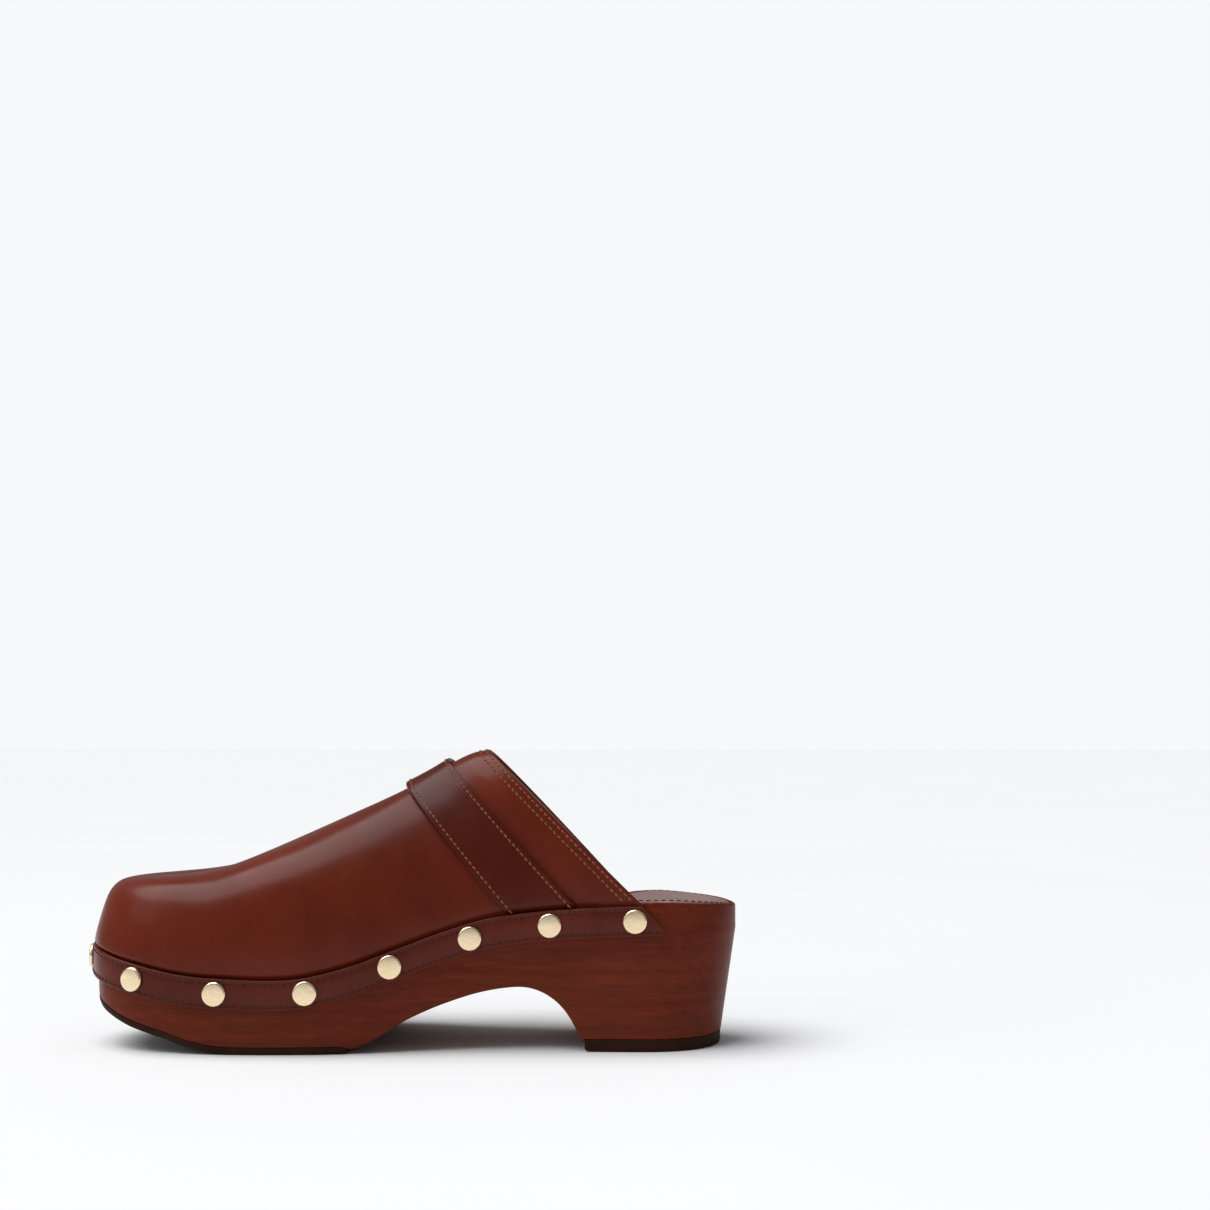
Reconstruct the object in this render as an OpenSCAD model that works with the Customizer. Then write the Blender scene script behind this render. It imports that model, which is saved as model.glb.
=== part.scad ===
// Wooden clog for the right foot: a closed leather upper nailed to a one-piece wooden base.
// X runs from the toe (-) to the heel (+), Y from the inner side (-) to the outer side (+) of the
// foot, and Z up from the floor. The origin is on the floor, under the middle of the clog.

/* [Base] */
// Length of the wooden base
base_length = 252; // [230:1:275]
// Width of the wooden base across the ball of the foot
ball_width = 77.5; // [71:0.5:86]
// Height of the base's rim at the heel
heel_height = 56; // [52:0.5:60]
// Thickness of the rubber tread under the ball of the foot
forefoot_tread_t = 2.5; // [2:0.5:3.5]
// Thickness of the rubber tread under the heel
heel_tread_t = 4.5; // [3:0.5:6]
// Depth of the hollow in the foot side of the heel
heel_cup = 3; // [1:0.5:4]

/* [Upper] */
// Thickness of the upper's outer leather
leather_t = 1.6; // [1.2:0.1:1.8]
// Thickness of the stiffener in the toe
puff_t = 0.6; // [0.4:0.1:0.8]
// Thickness of the lining leather
lining_t = 0.9; // [0.7:0.1:1.1]
// Height of the instep above the floor at the back edge of the upper
instep_height = 114; // [109:1:119]
// Height of the toe above the floor
toe_height = 63; // [58:1:68]

/* [Band and studs] */
// Width of the leather band around the base
band_w = 11.2; // [10:0.2:12.4]
// Thickness of the band
band_t = 2; // [1.5:0.1:2.4]
// Diameter of a stud's head
stud_d = 9.2; // [8.2:0.2:10.2]
// Thickness of a stud's head
stud_head_t = 1.5; // [1:0.1:2]
// Length of a stud's nail under the head
stud_nail_l = 14; // [10:1:16]

/* [Strap and buckle] */
// Width of the instep strap
strap_w = 21.5; // [19:0.5:22.5]
// Thickness of the strap's top leather
strap_t = 1.5; // [1.2:0.1:1.8]
// Thickness of the strap's backing leather
strap_back_t = 0.9; // [0.7:0.1:1.1]
// Diameter of the buckle's bar
bar_d = 2.2; // [2:0.1:2.6]
// Thickness of the buckle's frame
frame_t = 2.8; // [2.4:0.1:3.2]

/* [Hidden] */

// ---- Sample-size pattern, in mm. kx, ky and kz grade it to the driving dimensions. ----
pattern_length = 252;
pattern_width = 77.5;
pattern_height = 56;
kx = base_length / pattern_length;
ky = ball_width / pattern_width;
kz = heel_height / pattern_height;
centre = [1.3148, -2.3749];       // moves the pattern so that the finished clog is centred on the origin

// Plan of the base's rim, from the middle of the heel's back to the toe tip
inner_pattern = [
    [126.5, 0], [122, -13], [112, -22.5], [97, -27.5], [76, -28], [50, -27], [25, -27.5], [-2, -31],
    [-33, -35.5], [-60, -36.5], [-84, -35], [-103, -31], [-116.5, -23], [-123.2, -12], [-125.4, 0]
];
outer_pattern = [
    [126.5, 0], [122, 13], [112, 22.5], [97, 27.5], [76, 28.5], [45, 30.5], [15, 34.5], [-15, 39],
    [-44, 41], [-68, 40.5], [-88, 37.5], [-105, 31], [-117, 21.5], [-123.2, 11], [-125.4, 0]
];
// Height of the middle of the band, along X
band_line = [
    [-130, 34.2], [-121, 32], [-112, 29.5], [-102, 27.3], [-86, 24.1], [-72, 22.8], [-42, 22.4],
    [-22, 26.6], [-3, 33.3], [14, 39.4], [32, 44.5], [55, 47.5], [77, 48.7], [97, 49.3], [112, 49.4], [128, 48.2]
];
// Height of the base's rim at the heel, along X
heel_line = [[48, 51.5], [60, 52.8], [77, 54.6], [90, 55.8], [97, 56], [112, 55.2], [122, 54.4], [128, 53.3]];
// Height of the tread's underside, along X: toe spring, ball, arch, heel
sole_line = [
    [-130, 21], [-121, 15.8], [-107, 9.8], [-97, 6.9], [-90, 5], [-81, 2.2], [-72, 0.5], [-64, 0], [-40, 0],
    [-21, 0], [-16, 2.4], [-10, 5.6], [-0.6, 11.3], [8.7, 15.6], [18, 19], [28, 21.9], [38, 23.6],
    [45, 23.8], [51, 22.2], [56.6, 18.8], [60.8, 14.4], [63.9, 9.4], [66.7, 3.5], [68, 0.6], [69, 0],
    [90, 0], [130, 0]
];
ball_end = -21;                 // where the flat of the ball ends and the arch starts
heel_front = 69;                // where the arch ends and the flat of the heel starts
// Height of the upper's ridge, along X
ridge_line = [
    [-100, 63.2], [-88, 64.7], [-76, 67.2], [-66, 70.9], [-56, 75.2], [-42, 81.3], [-26, 88.4], [-10, 95.6],
    [-2, 99.6], [6, 103.9], [14, 108.7], [22, 112.5], [29, 114]
];
topline = 0.177;                // place along the inner rim where the upper's back edge comes down
outer_lead = 0.0225;            // the back edge comes down this much further forward on the outer side
// The ridge point that each cross line of the upper climbs to: [place along the rim, x, y]
ridge_plan = [
    [topline, 29, -1], [0.266, 12, -1], [0.354, -3.8, -1], [0.485, -30, -1], [0.62, -54, 0],
    [0.76, -74, 1], [0.875, -87, 1], [1, -95, 0]
];

// ---- Curves through points ----
function clamp01(v) = max(0, min(1, v));
function ease(v) = let (c = clamp01(v)) c * c * (3 - 2 * c);
function mix(a, b, f) = a + (b - a) * f;
function tangent(t, i) =
    let (a = max(0, i - 1), b = min(len(t) - 1, i + 1)) (t[b][1] - t[a][1]) / (t[b][0] - t[a][0]);
function span(t, x, i = 0) = i >= len(t) - 2 || x < t[i + 1][0] ? i : span(t, x, i + 1);
// Smooth curve through the [x, value] points of t
function curve(t, x) =
    let (i = span(t, x), w = t[i + 1][0] - t[i][0], u = clamp01((x - t[i][0]) / w))
    (1 + 2 * u) * pow(1 - u, 2) * t[i][1] + u * pow(1 - u, 2) * w * tangent(t, i)
    + u * u * (3 - 2 * u) * t[i + 1][1] + u * u * (u - 1) * w * tangent(t, i + 1);
function column(t, k) = [for (row = t) [row[0], row[k]]];
function back_to_front(v) = [for (i = [len(v) - 1:-1:0]) v[i]];
function bend(a, b, c, d, u) =
    0.5 * (2 * b + (c - a) * u + (2 * a - 5 * b + 4 * c - d) * u * u + (3 * b - a - 3 * c + d) * pow(u, 3));

// ---- The rim: a closed smooth curve, addressed by side (0 inner, 1 outer) and by t, from 0 at the
// heel's back to 1 at the toe tip, in equal steps of length ----
steps = 8;
function half_rim(own, other) =
    let (n = len(own) - 1, p = concat([other[1]], own, [other[len(other) - 2]]))
    [for (i = [0:n - 1], k = [0:steps - 1]) bend(p[i], p[i + 1], p[i + 2], p[i + 3], k / steps), own[n]];
function distances(p) =
    [for (i = 0, s = 0; i < len(p); s = s + (i + 1 < len(p) ? norm(p[i + 1] - p[i]) : 0), i = i + 1) s];
function rim_tables(own, other) =
    let (p = half_rim(own, other), d = distances(p), l = d[len(d) - 1])
    [for (k = [0, 1]) [for (i = [0:len(p) - 1]) [d[i] / l, p[i][k]]]];
rims = [rim_tables(inner_pattern, outer_pattern), rim_tables(outer_pattern, inner_pattern)];
function pattern_at(side, t) = [lookup(t, rims[side][0]), lookup(t, rims[side][1])];
probe = 0.006;
tip_run = pattern_at(0, 1 - probe) - pattern_at(1, 1 - probe);
tip_normal = [tip_run[1], -tip_run[0]] / norm(tip_run);
function rim_normal(side, t) =
    t <= 0 ? [1, 0] : t >= 1 ? tip_normal :
    let (d = pattern_at(side, min(1, t + probe)) - pattern_at(side, max(0, t - probe)))
    (side == 0 ? [-d[1], d[0]] : [d[1], -d[0]]) / norm(d);
// Plan point at a distance outside the rim
function rim(side, t, out = 0) =
    let (p = pattern_at(side, t) + out * rim_normal(side, t)) [p[0] * kx + centre[0], p[1] * ky + centre[1]];
function unplaced(x) = (x - centre[0]) / kx;
function band_z(x) = kz * curve(band_line, unplaced(x));
function sole_z(x) = kz * max(0, curve(sole_line, unplaced(x)));
function placed_x(x) = x * kx + centre[0];

// ---- A solid between two grids of points, outer skin and inner skin. ends = [first, last] says
// whether the first and last rows are open edges, which get a wall, or fold shut on themselves. ----
function real_face(p, f) = norm(p[f[0]] - p[f[1]]) > 1e-5 && norm(p[f[1]] - p[f[2]]) > 1e-5
    && norm(p[f[2]] - p[f[0]]) > 1e-5;
module skin_solid(outer, inner, ends = [true, true]) {
    n = len(outer);
    m = len(outer[0]);
    points = [for (g = [outer, inner], row = g, p = row) p];
    function at(g, i, j) = (g * n + i) * m + j;
    function pair(a, b, c, d) = [[a, b, c], [a, c, d]];
    function patch(g, i, j) = pair(at(g, i, j), at(g, i, j + 1), at(g, i + 1, j + 1), at(g, i + 1, j));
    faces = [
        for (i = [0:n - 2], j = [0:m - 2]) each patch(0, i, j),
        for (i = [0:n - 2], j = [0:m - 2], f = patch(1, i, j)) back_to_front(f),
        for (i = [0:n - 2]) each pair(at(0, i + 1, 0), at(1, i + 1, 0), at(1, i, 0), at(0, i, 0)),
        for (i = [0:n - 2])
            each pair(at(0, i, m - 1), at(1, i, m - 1), at(1, i + 1, m - 1), at(0, i + 1, m - 1)),
        for (j = [0:m - 2]) if (ends[0])
            each pair(at(0, 0, j), at(1, 0, j), at(1, 0, j + 1), at(0, 0, j + 1)),
        for (j = [0:m - 2]) if (ends[1])
            each pair(at(0, n - 1, j + 1), at(1, n - 1, j + 1), at(1, n - 1, j), at(0, n - 1, j))
    ];
    polyhedron(points, [for (f = faces) if (real_face(points, f)) back_to_front(f)]);
}

// ---- Places along the rim that every layer is built on, closer together where the shape turns ----
places = concat(
    [for (i = [0:8]) 0.02 * i],
    [topline - 0.01, topline, topline + outer_lead - 0.01, topline + outer_lead, 0.225, 0.25, 0.2555],
    [for (i = [0:7]) 0.2625 + 0.0125 * i],
    [for (i = [1:16]) 0.35 + 0.03125 * i],
    [for (i = [1:8]) 0.85 + 0.01875 * i]
);

// ---- Wooden base ----
glue = 0.05;                    // glue line between stacked layers
puff_from = 0.74;               // place along the rim where the toe stiffener starts
function puff_in(t) = (puff_t + glue) * ease((t - puff_from + 0.07) / 0.06);
function lining_in(t) = leather_t + glue + puff_in(t);
ledge_drop = band_w / 2 - 1.6;  // the step is this far below the middle of the band
rim_rise = 4.8;                 // behind the upper the rim is this far above the middle of the band
// How far the base steps in behind the upper; the step runs out behind the upper's back edge
function step_in(side, t) =
    (lining_in(t) + lining_t + 2 * glue) * ease((t - topline - side * outer_lead + 0.01) / 0.01);
function side_draft(side, t) = 0.055 + 0.1 * pow(max(0, rim_normal(side, t)[0]), 2);
// Underside of the wood, above whichever tread is under it
function wood_bottom(x) =
    let (u = unplaced(x))
    max(sole_z(x), u < ball_end + 8 ? sole_z(x) + forefoot_tread_t * ease((ball_end + 8 - u) / 12)
        : u > heel_front - 8 ? heel_tread_t : 0) + glue;
function rim_z(x) =
    let (u = unplaced(x)) mix(band_z(x) + rim_rise, kz * curve(heel_line, u), ease((u - 50) / 12));
function cup(x) = mix(heel_cup, 1.4, ease((60 - unplaced(x)) / 60));
// Foot side of the base: f runs from 0 at the inner rim to 1 at the outer rim
function footbed_z(x, f) = rim_z(x) - cup(x) * (1 - pow(2 * f - 1, 4));
edge_round = 1.2;
function wall_column(side, t) =
    let (
        ledge_xy = rim(side, t), x = ledge_xy[0],
        ledge_z = band_z(x) - ledge_drop,
        low_z = wood_bottom(x),
        draft = side_draft(side, t) * (ledge_z - low_z),
        low = rim(side, t, -draft - edge_round * 0.3),
        mid = rim(side, t, -draft + 0.1 * edge_round)
    )
    [
        [low[0], low[1], wood_bottom(low[0])],
        [mid[0], mid[1], wood_bottom(mid[0]) + edge_round],
        [ledge_xy[0], ledge_xy[1], ledge_z],
        let (p = rim(side, t, -step_in(side, t))) [p[0], p[1], ledge_z + 0.01],
        let (p = rim(side, t, -step_in(side, t))) [p[0], p[1], rim_z(x) - 0.6],
        let (p = rim(side, t, -step_in(side, t) - 0.6)) [p[0], p[1], rim_z(x)]
    ];
function cross_row(a, b, count, z_of) =
    [for (j = [1:count - 1]) let (f = j / count, p = mix(a, b, f)) [p[0], p[1], z_of(p[0], f)]];
across = 8;
function base_row(t) =
    let (a = wall_column(0, t), b = wall_column(1, t), e = len(a) - 1, shut = t <= 0 || t >= 1)
    let (cross = cross_row(a[e], b[e], across, function (x, f) shut ? a[e][2] : footbed_z(x, f)))
    concat(a, cross, back_to_front(b));
function under_row(t, count) =
    let (a = wall_column(0, t)[0], b = wall_column(1, t)[0])
    [for (j = [0:count]) let (p = mix(a, b, j / count)) [p[0], p[1], wood_bottom(p[0])]];
module wooden_base() {
    rows = [for (t = places) base_row(t)];
    under = [for (t = places) under_row(t, len(rows[0]) - 1)];
    color("sienna") skin_solid(rows, under, [false, false]);
}

// ---- Treads, on the same cross rows as the base ----
tread_gap = 0.1;
module tread(first, last, shut) {
    own = [for (t = places) if (t >= first - 1e-6 && t <= last + 1e-6) t];
    function row(t, z_of) =
        let (a = wall_column(0, t)[0], b = wall_column(1, t)[0])
        [for (j = [0:6]) let (p = mix(a, b, j / 6)) [p[0], p[1], z_of(p[0])]];
    skin_solid([for (t = own) row(t, function (x) wood_bottom(x) - tread_gap)],
        [for (t = own) row(t, function (x) sole_z(x))], shut);
}
module forefoot_tread() { color("dimgray") tread(0.56875, 1, [true, false]); }
module heel_tread() { color("dimgray") tread(0, 0.2555, [false, true]); }

// ---- Footbed: thin foam on the wood, and a leather sock over it ----
bed_gap = 0.33;
sock_inset = 2.2;
foam_t = 1.6;
sock_t = 1.1;
function bed_edge(side, t) = let (c = wall_column(side, t)) c[len(c) - 1];
// Height of the wood's foot side at fraction f of the cross row at t
function bed_z(t, f) =
    let (a = bed_edge(0, t), b = bed_edge(1, t))
    lookup(f, [for (j = [0:across]) [j / across, footbed_z(mix(a, b, j / across)[0], j / across)]]);
function bed_length(t) = let (a = bed_edge(0, t), b = bed_edge(1, t)) norm([b[0] - a[0], b[1] - a[1]]);
// Distance of the sock's edge from the edge of the base's foot side, even where the base steps in
function sock_in(side, t) =
    sock_inset + 4 * ease((t - topline - side * outer_lead + 0.045) / 0.05) - step_in(side, t)
    + 4 * ease((t - 0.82) / 0.08);
function bed_point(t, f, rise) =
    let (p = mix(bed_edge(0, t), bed_edge(1, t), f)) [p[0], p[1], bed_z(t, f) + bed_gap + rise];
function foam_row(t, rise, count) =
    let (
        l = bed_length(t), f0 = min(0.42, (sock_in(0, t) + 7) / l),
        f1 = 1 - min(0.42, (sock_in(1, t) + 7) / l)
    )
    [for (j = [0:count])
        bed_point(t, mix(f0, f1, j / count), rise * min(1, 0.25 + 4 * min(j, count - j) / count))];
module footbed_foam() {
    own = [for (i = [2:len(places) - 6]) places[i]];
    color("beige") skin_solid([for (t = own) foam_row(t, foam_t, 8)], [for (t = own) foam_row(t, 0, 8)]);
}
function sock_row(t, rise) =
    let (
        l = bed_length(t), f0 = min(0.4, sock_in(0, t) / l), f8 = 1 - min(0.4, sock_in(1, t) / l),
        f1 = min(0.45, f0 + 3 / l), f7 = max(0.55, f8 - 3 / l),
        fs = concat([f0], [for (k = [0, 0.35, 0.7]) mix(f1, 0.5, k)],
            [for (k = [0, 0.3, 0.65, 1]) mix(0.5, f7, k)], [f8])
    )
    [for (f = fs) bed_point(t, f, (foam_t + bed_gap) * ease(min(f - f0, f8 - f) * l / 9) + rise)];
module insole_sock() {
    own = [for (i = [1:len(places) - 5]) places[i]];
    color("rosybrown") skin_solid([for (t = own) sock_row(t, sock_t)], [for (t = own) sock_row(t, 0)]);
}

// ---- Upper: cross lines climb from the rim on each side to the ridge ----
function ridge(t) =
    let (x = curve(column(ridge_plan, 1), t), z = curve(ridge_line, x))
    [placed_x(x), curve(column(ridge_plan, 2), t) * ky + centre[1],
        toe_height + (z - 63) * (instep_height - toe_height) / 51];
// Place along the rim of a side where the cross line at t starts
function foot_place(side, t) = t + side * outer_lead * ease((0.45 - t) / 0.27);
function squareness(t) = 2.05 + 1.45 * ease((t - 0.3) / 0.45) + 3 * ease((t - 0.75) / 0.25);
function lean(t) = 0.11 * ease((t - 0.75) / 0.2);      // how much the wall leans back, at the toe
// How far the leather swells out over the band, at climb s
function swell(t, s) =
    mix(0.8, 1.9, ease((t - 0.33) / 0.25)) * ease(s / 0.035) * (1 - ease((s - 0.04) / 0.5));
function upper_foot(x) = band_z(x) - ledge_drop + glue;
// Point on the upper at place t and climb s (below 0: behind the band; 1: on the ridge), out from
// the leather's outer face
function upper_point(side, t, s, out = 0) =
    let (
        f = foot_place(side, t), r0 = rim(side, f), r = rim(side, f, out), top = ridge(t),
        nn = -rim_normal(side, f), d = [top[0] - r[0], top[1] - r[1]], dn = d * nn, dt = d - dn * nn,
        n = squareness(t), z0 = band_z(r0[0]) + band_w / 2
    )
    s <= 0 ? [r[0], r[1], mix(z0, upper_foot(r0[0]), -s)] :
    s >= 1 ? [r[0] + d[0], r[1] + d[1], top[2] + out] :
    let (
        reach = pow(pow(cos(90 * s), n) + pow(sin(90 * s), n), -1 / n),
        b = reach * sin(90 * s), flat = 1 - reach * cos(90 * s), a = flat + lean(t) * b * (1 - flat),
        p = r + nn * (dn * a - swell(t, s)) + dt * b
    )
    [p[0], p[1], z0 + (top[2] + out - z0) * b];
climb = [-1, 0, 0.012, 0.035, 0.1, 0.2, 0.3, 0.38, 0.45, 0.52, 0.6, 0.7, 0.84, 1];
function upper_row(t, inset) =
    concat([for (s = climb) upper_point(0, t, s, -inset)],
        [for (k = [len(climb) - 2:-1:0]) upper_point(1, t, climb[k], -inset)]);
upper_places = [for (t = places) if (t >= topline) t];
module shell(own, from, to, shut) {
    skin_solid([for (t = own) upper_row(t, from[0] + from[1] * puff_in(t))],
        [for (t = own) upper_row(t, to[0] + to[1] * puff_in(t))], shut);
}
module upper_leather() {
    color("saddlebrown") shell(upper_places, [0, 0], [leather_t, 0], [true, false]);
}
module toe_stiffener() {
    own = [for (t = upper_places) if (t > puff_from) t];
    color("tan") shell(own, [leather_t + glue, 0], [leather_t + glue + puff_t, 0], [true, false]);
}
module upper_lining() {
    color("peru") shell(upper_places, [leather_t + glue, 1], [leather_t + glue + lining_t, 1], [true, false]);
}
facing_t = 0.8;
module topline_facing() {
    own = [for (i = [0:3]) upper_places[i]];
    reach = [for (s = climb) if (s > 0.05) s];
    function row(t, inset) =
        concat([for (s = reach) upper_point(0, t, s, -inset)],
            [for (k = [len(reach) - 2:-1:0]) upper_point(1, t, reach[k], -inset)]);
    in = leather_t + lining_t + 2 * glue + 0.05;
    color("chocolate") skin_solid([for (t = own) row(t, in)], [for (t = own) row(t, in + facing_t)]);
}

// ---- Band around the base. Each end is cut on a slant, in line with the upper's back edge ----
strap_mid = 0.3102;             // place along the inner rim of the strap's middle
strap_half = 0.0474 * strap_w / 21.5;
tuck_t = 0.8;                   // thickness of a strap end skived to go behind the band
function bump(side, t) =
    (tuck_t + 2 * glue) * ease((strap_half + 0.038 - abs(t - foot_place(side, strap_mid))) / 0.025);
// The slanted end, from its tip: [place along the rim, height of its bottom edge, of its top edge],
// with heights as fractions of the band's width
band_end = [
    [0.151, 0.11, 0.19], [0.1522, 0.03, 0.26], [0.1545, 0, 0.35], [0.16, 0, 0.53], [0.167, 0, 0.73],
    [0.1735, 0, 0.92], [0.176, 0, 0.98], [0.1785, 0, 1]
];
function band_column(side, t, low, high) =
    let (
        z = band_z(rim(side, t)[0]) - band_w / 2, lo = z + band_w * low, hi = z + band_w * high,
        c = min(0.4, (hi - lo) * 0.25), a = 2 * glue + bump(side, t), b = a + band_t,
        line = [[a, lo], [b - c, lo], [b, lo + c], [b, hi - c], [b - c, hi], [a, hi]]
    )
    [for (q = line) let (p = rim(side, t, q[0])) [p[0], p[1], q[1]]];
function band_side(side) = concat(
    [for (e = band_end) band_column(side, e[0] + side * outer_lead, e[1], e[2])],
    [for (t = places) if (t > 0.1785 + side * outer_lead) band_column(side, t, 0, 1)]);
module band() {
    far = band_side(1);
    rows = concat(band_side(0), [for (k = [len(far) - 2:-1:0]) far[k]]);
    n = len(rows);
    m = len(rows[0]);
    points = [for (r = rows, p = r) p];
    faces = concat(
        [for (i = [0:n - 2], j = [0:m - 1]) each [
            [i * m + j, (i + 1) * m + (j + 1) % m, i * m + (j + 1) % m],
            [i * m + j, (i + 1) * m + j, (i + 1) * m + (j + 1) % m]]],
        [[for (j = [0:m - 1]) j]],
        [[for (j = [m - 1:-1:0]) (n - 1) * m + j]]);
    color("maroon") polyhedron(points, faces);
}

// ---- Studs: domed heads with nails driven through the band and the upper into the wood ----
stud_places = [
    [0.188, 0.3007, 0.408, 0.5135, 0.6225, 0.7405, 0.8545, 0.978],
    [0.207, 0.315, 0.4225, 0.5365, 0.6557, 0.7768, 0.8933]
];
nail_d = 1.8;
module stud() {
    rotate_extrude($fn = 48) polygon([
        [0, -stud_nail_l], [nail_d / 2, -stud_nail_l + 1.5], [nail_d / 2, 0], [stud_d / 2, 0],
        [stud_d / 2, stud_head_t - 0.5], [stud_d / 2 - 0.5, stud_head_t], [0, stud_head_t]
    ]);
}
module place_stud(side, t) {
    p = rim(side, t, 2 * glue + bump(side, t) + band_t + 0.03);
    n = rim_normal(side, t);
    translate([p[0], p[1], band_z(rim(side, t)[0])]) rotate([0, 0, atan2(n[1], n[0])])
        rotate([0, 90, 0]) stud();
}
module band_studs() {
    color("gold") for (side = [0, 1], t = stud_places[side]) place_stud(side, t);
}

// ---- Buckle frame of reference: u climbs the strap, v runs across it, w points outward ----
buckle_s = 0.32;
bar_lift = 4.75;
function unit(v) = v / norm(v);
buckle_o = upper_point(1, strap_mid, buckle_s, bar_lift);
buckle_run = upper_point(1, strap_mid, buckle_s + 0.06) - upper_point(1, strap_mid, buckle_s - 0.06);
buckle_side = upper_point(1, strap_mid + 0.03, buckle_s) - upper_point(1, strap_mid - 0.03, buckle_s);
bu = unit(buckle_run);
bw = unit(cross(buckle_run, buckle_side)) * (cross(buckle_run, buckle_side)[1] > 0 ? 1 : -1);
bv = cross(bw, bu);
module at_buckle() {
    multmatrix([
        [bu[0], bv[0], bw[0], buckle_o[0]], [bu[1], bv[1], bw[1], buckle_o[1]],
        [bu[2], bv[2], bw[2], buckle_o[2]], [0, 0, 0, 1]
    ]) children();
}
function from_buckle(u, v, w) = buckle_o + u * bu + v * bv + w * bw;
tab_t = 1.2;
tab_w = 13;
loop_r = bar_d / 2 + 0.12;      // inside of the tab's loop round the bar
up_reach = 17.5;                // frame's reach above and below the bar
down_reach = 15.5;
frame_bend = 4;                   // each half of the frame is bent this far towards the foot
rail = 3;                       // width of the frame's rails
frame_w = strap_w + 2.2 + 2 * rail;

// ---- Strap: behind the band on the inner side, over the ridge, down through the buckle ----
strap_gap = 0.3;
loop_top = loop_r + tab_t + 0.2;
side_sign = (upper_point(1, strap_mid + 0.03, buckle_s) - buckle_o) * bv > 0 ? 1 : -1;
// Lift of the strap's underside along the buckle's u, where it is off the upper
function strap_w_at(u, surface) =
    u > 0 ? mix(surface, loop_top, ease((14.5 - u) / 14.5))
    : mix(loop_top, 0.95, ease(-u / 13.5)) - 0.035 * pow(max(0, -u - 13.5), 2);
function strap_surface_row(side, s, lift, edge) =
    [for (j = [-2:2]) upper_point(side, strap_mid + strap_half * edge * j / 2, s, lift)];
function strap_free_point(u, v, surface, lift) =
    from_buckle(u, side_sign * strap_w / 2 * v, strap_w_at(u, surface) + lift - strap_gap);
// Each point of the strap leaves the upper's surface from its own height, and runs on over the bar
function strap_out_row(s, lift, edge) =
    let (u = (upper_point(1, strap_mid, s, strap_gap) - buckle_o) * bu, g = ease((30 - u) / 12))
    [for (j = [-2:2]) let (
        v = edge * j / 2, own = upper_point(1, strap_mid + strap_half * v, s, strap_gap) - buckle_o,
        free = strap_free_point(mix(own * bu, u, ease((16 - u) / 14)), v, own * bw, lift)
    ) mix(upper_point(1, strap_mid + strap_half * v, s, lift), free, g)];
strap_in_climb = concat([0.035, 0.07, 0.12], [for (i = [3:16]) 0.06 * i], [1]);
strap_out_climb = [0.95, 0.9, 0.84, 0.78, 0.72, 0.66, 0.6, 0.55, 0.5, 0.46, 0.42, 0.385, 0.35];
strap_tail = [0, -4, -8, -12, -15, -17.5, -19.2];
function tip(u) = u > -15 ? 1 : sqrt(max(0.1, 1 - pow((-u - 15) / 5, 2)));
// Rows of a layer of the strap between the inner side and its end, at a lift off the upper
function strap_rows(lift, edge, tuck_lift, last) = concat(
    tuck_lift < 0 ? [] : [for (s = [-0.75, -0.3, 0]) strap_surface_row(0, s, tuck_lift, edge)],
    tuck_lift < 0 ? [] : [strap_surface_row(0, 0.012, mix(tuck_lift, lift, 0.55), edge)],
    [for (s = strap_in_climb) strap_surface_row(0, s, lift, edge)],
    [for (s = strap_out_climb) strap_out_row(s, lift, edge)],
    [for (u = strap_tail) if (u >= last)
        [for (j = [-2:2]) strap_free_point(u, edge * tip(u) * j / 2, 0, lift)]]);
module prong_slot() {
    at_buckle() translate([-1.8, -1.6, -9]) cube([13.6, 3.2, 18]);
}
module strap() {
    low = strap_gap + strap_back_t + glue;
    color("sienna") difference() {
        skin_solid(strap_rows(low, 1, glue, -20), strap_rows(low + strap_t, 1, glue + tuck_t, -20));
        prong_slot();
    }
}
module strap_backing() {
    color("tan") difference() {
        skin_solid(strap_rows(strap_gap, 0.97, -1, -20), strap_rows(strap_gap + strap_back_t, 0.97, -1, -20));
        prong_slot();
    }
}

// ---- Tab: behind the band on the outer side, up to the bar, round it and back on itself ----
tab_half = strap_half * tab_w / strap_w;
tab_climb = [0.035, 0.07, 0.11, 0.15, 0.19];
function tab_surface_row(s, lift) =
    [for (j = [-1:1]) upper_point(1, strap_mid + tab_half * j, s, lift)];
function tab_free_row(u, w) = [for (j = [-1:1]) from_buckle(u, side_sign * tab_w / 2 * j, w)];
under_bar = -(loop_r + tab_t);
function loop_row(a, r) = tab_free_row(r * sin(a), -r * cos(a));
loop_steps = [0:22.5:180];
module buckle_tab() {
    inner = concat(
        [for (s = [-0.75, -0.3, 0]) tab_surface_row(s, glue)],
        [for (s = tab_climb) tab_surface_row(s, strap_gap)],
        [tab_free_row(-5, under_bar - 0.2)],
        [for (a = loop_steps) loop_row(a, loop_r + tab_t)],
        [tab_free_row(-3.5, 2.1), tab_free_row(-7.5, -0.6)]);
    outer = concat(
        [for (s = [-0.75, -0.3, 0]) tab_surface_row(s, glue + tuck_t)],
        [for (s = tab_climb) tab_surface_row(s, strap_gap + tab_t)],
        [tab_free_row(-5, under_bar - 0.2 + tab_t)],
        [for (a = loop_steps) loop_row(a, loop_r)],
        [tab_free_row(-3.5, 2.1 - tab_t), tab_free_row(-7.5, -0.6 - 0.8)]);
    color("sienna") difference() {
        skin_solid(outer, inner);
        at_buckle() translate([-3.4, -1.6, -9]) cube([10, 3.2, 18]);
    }
}

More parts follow.
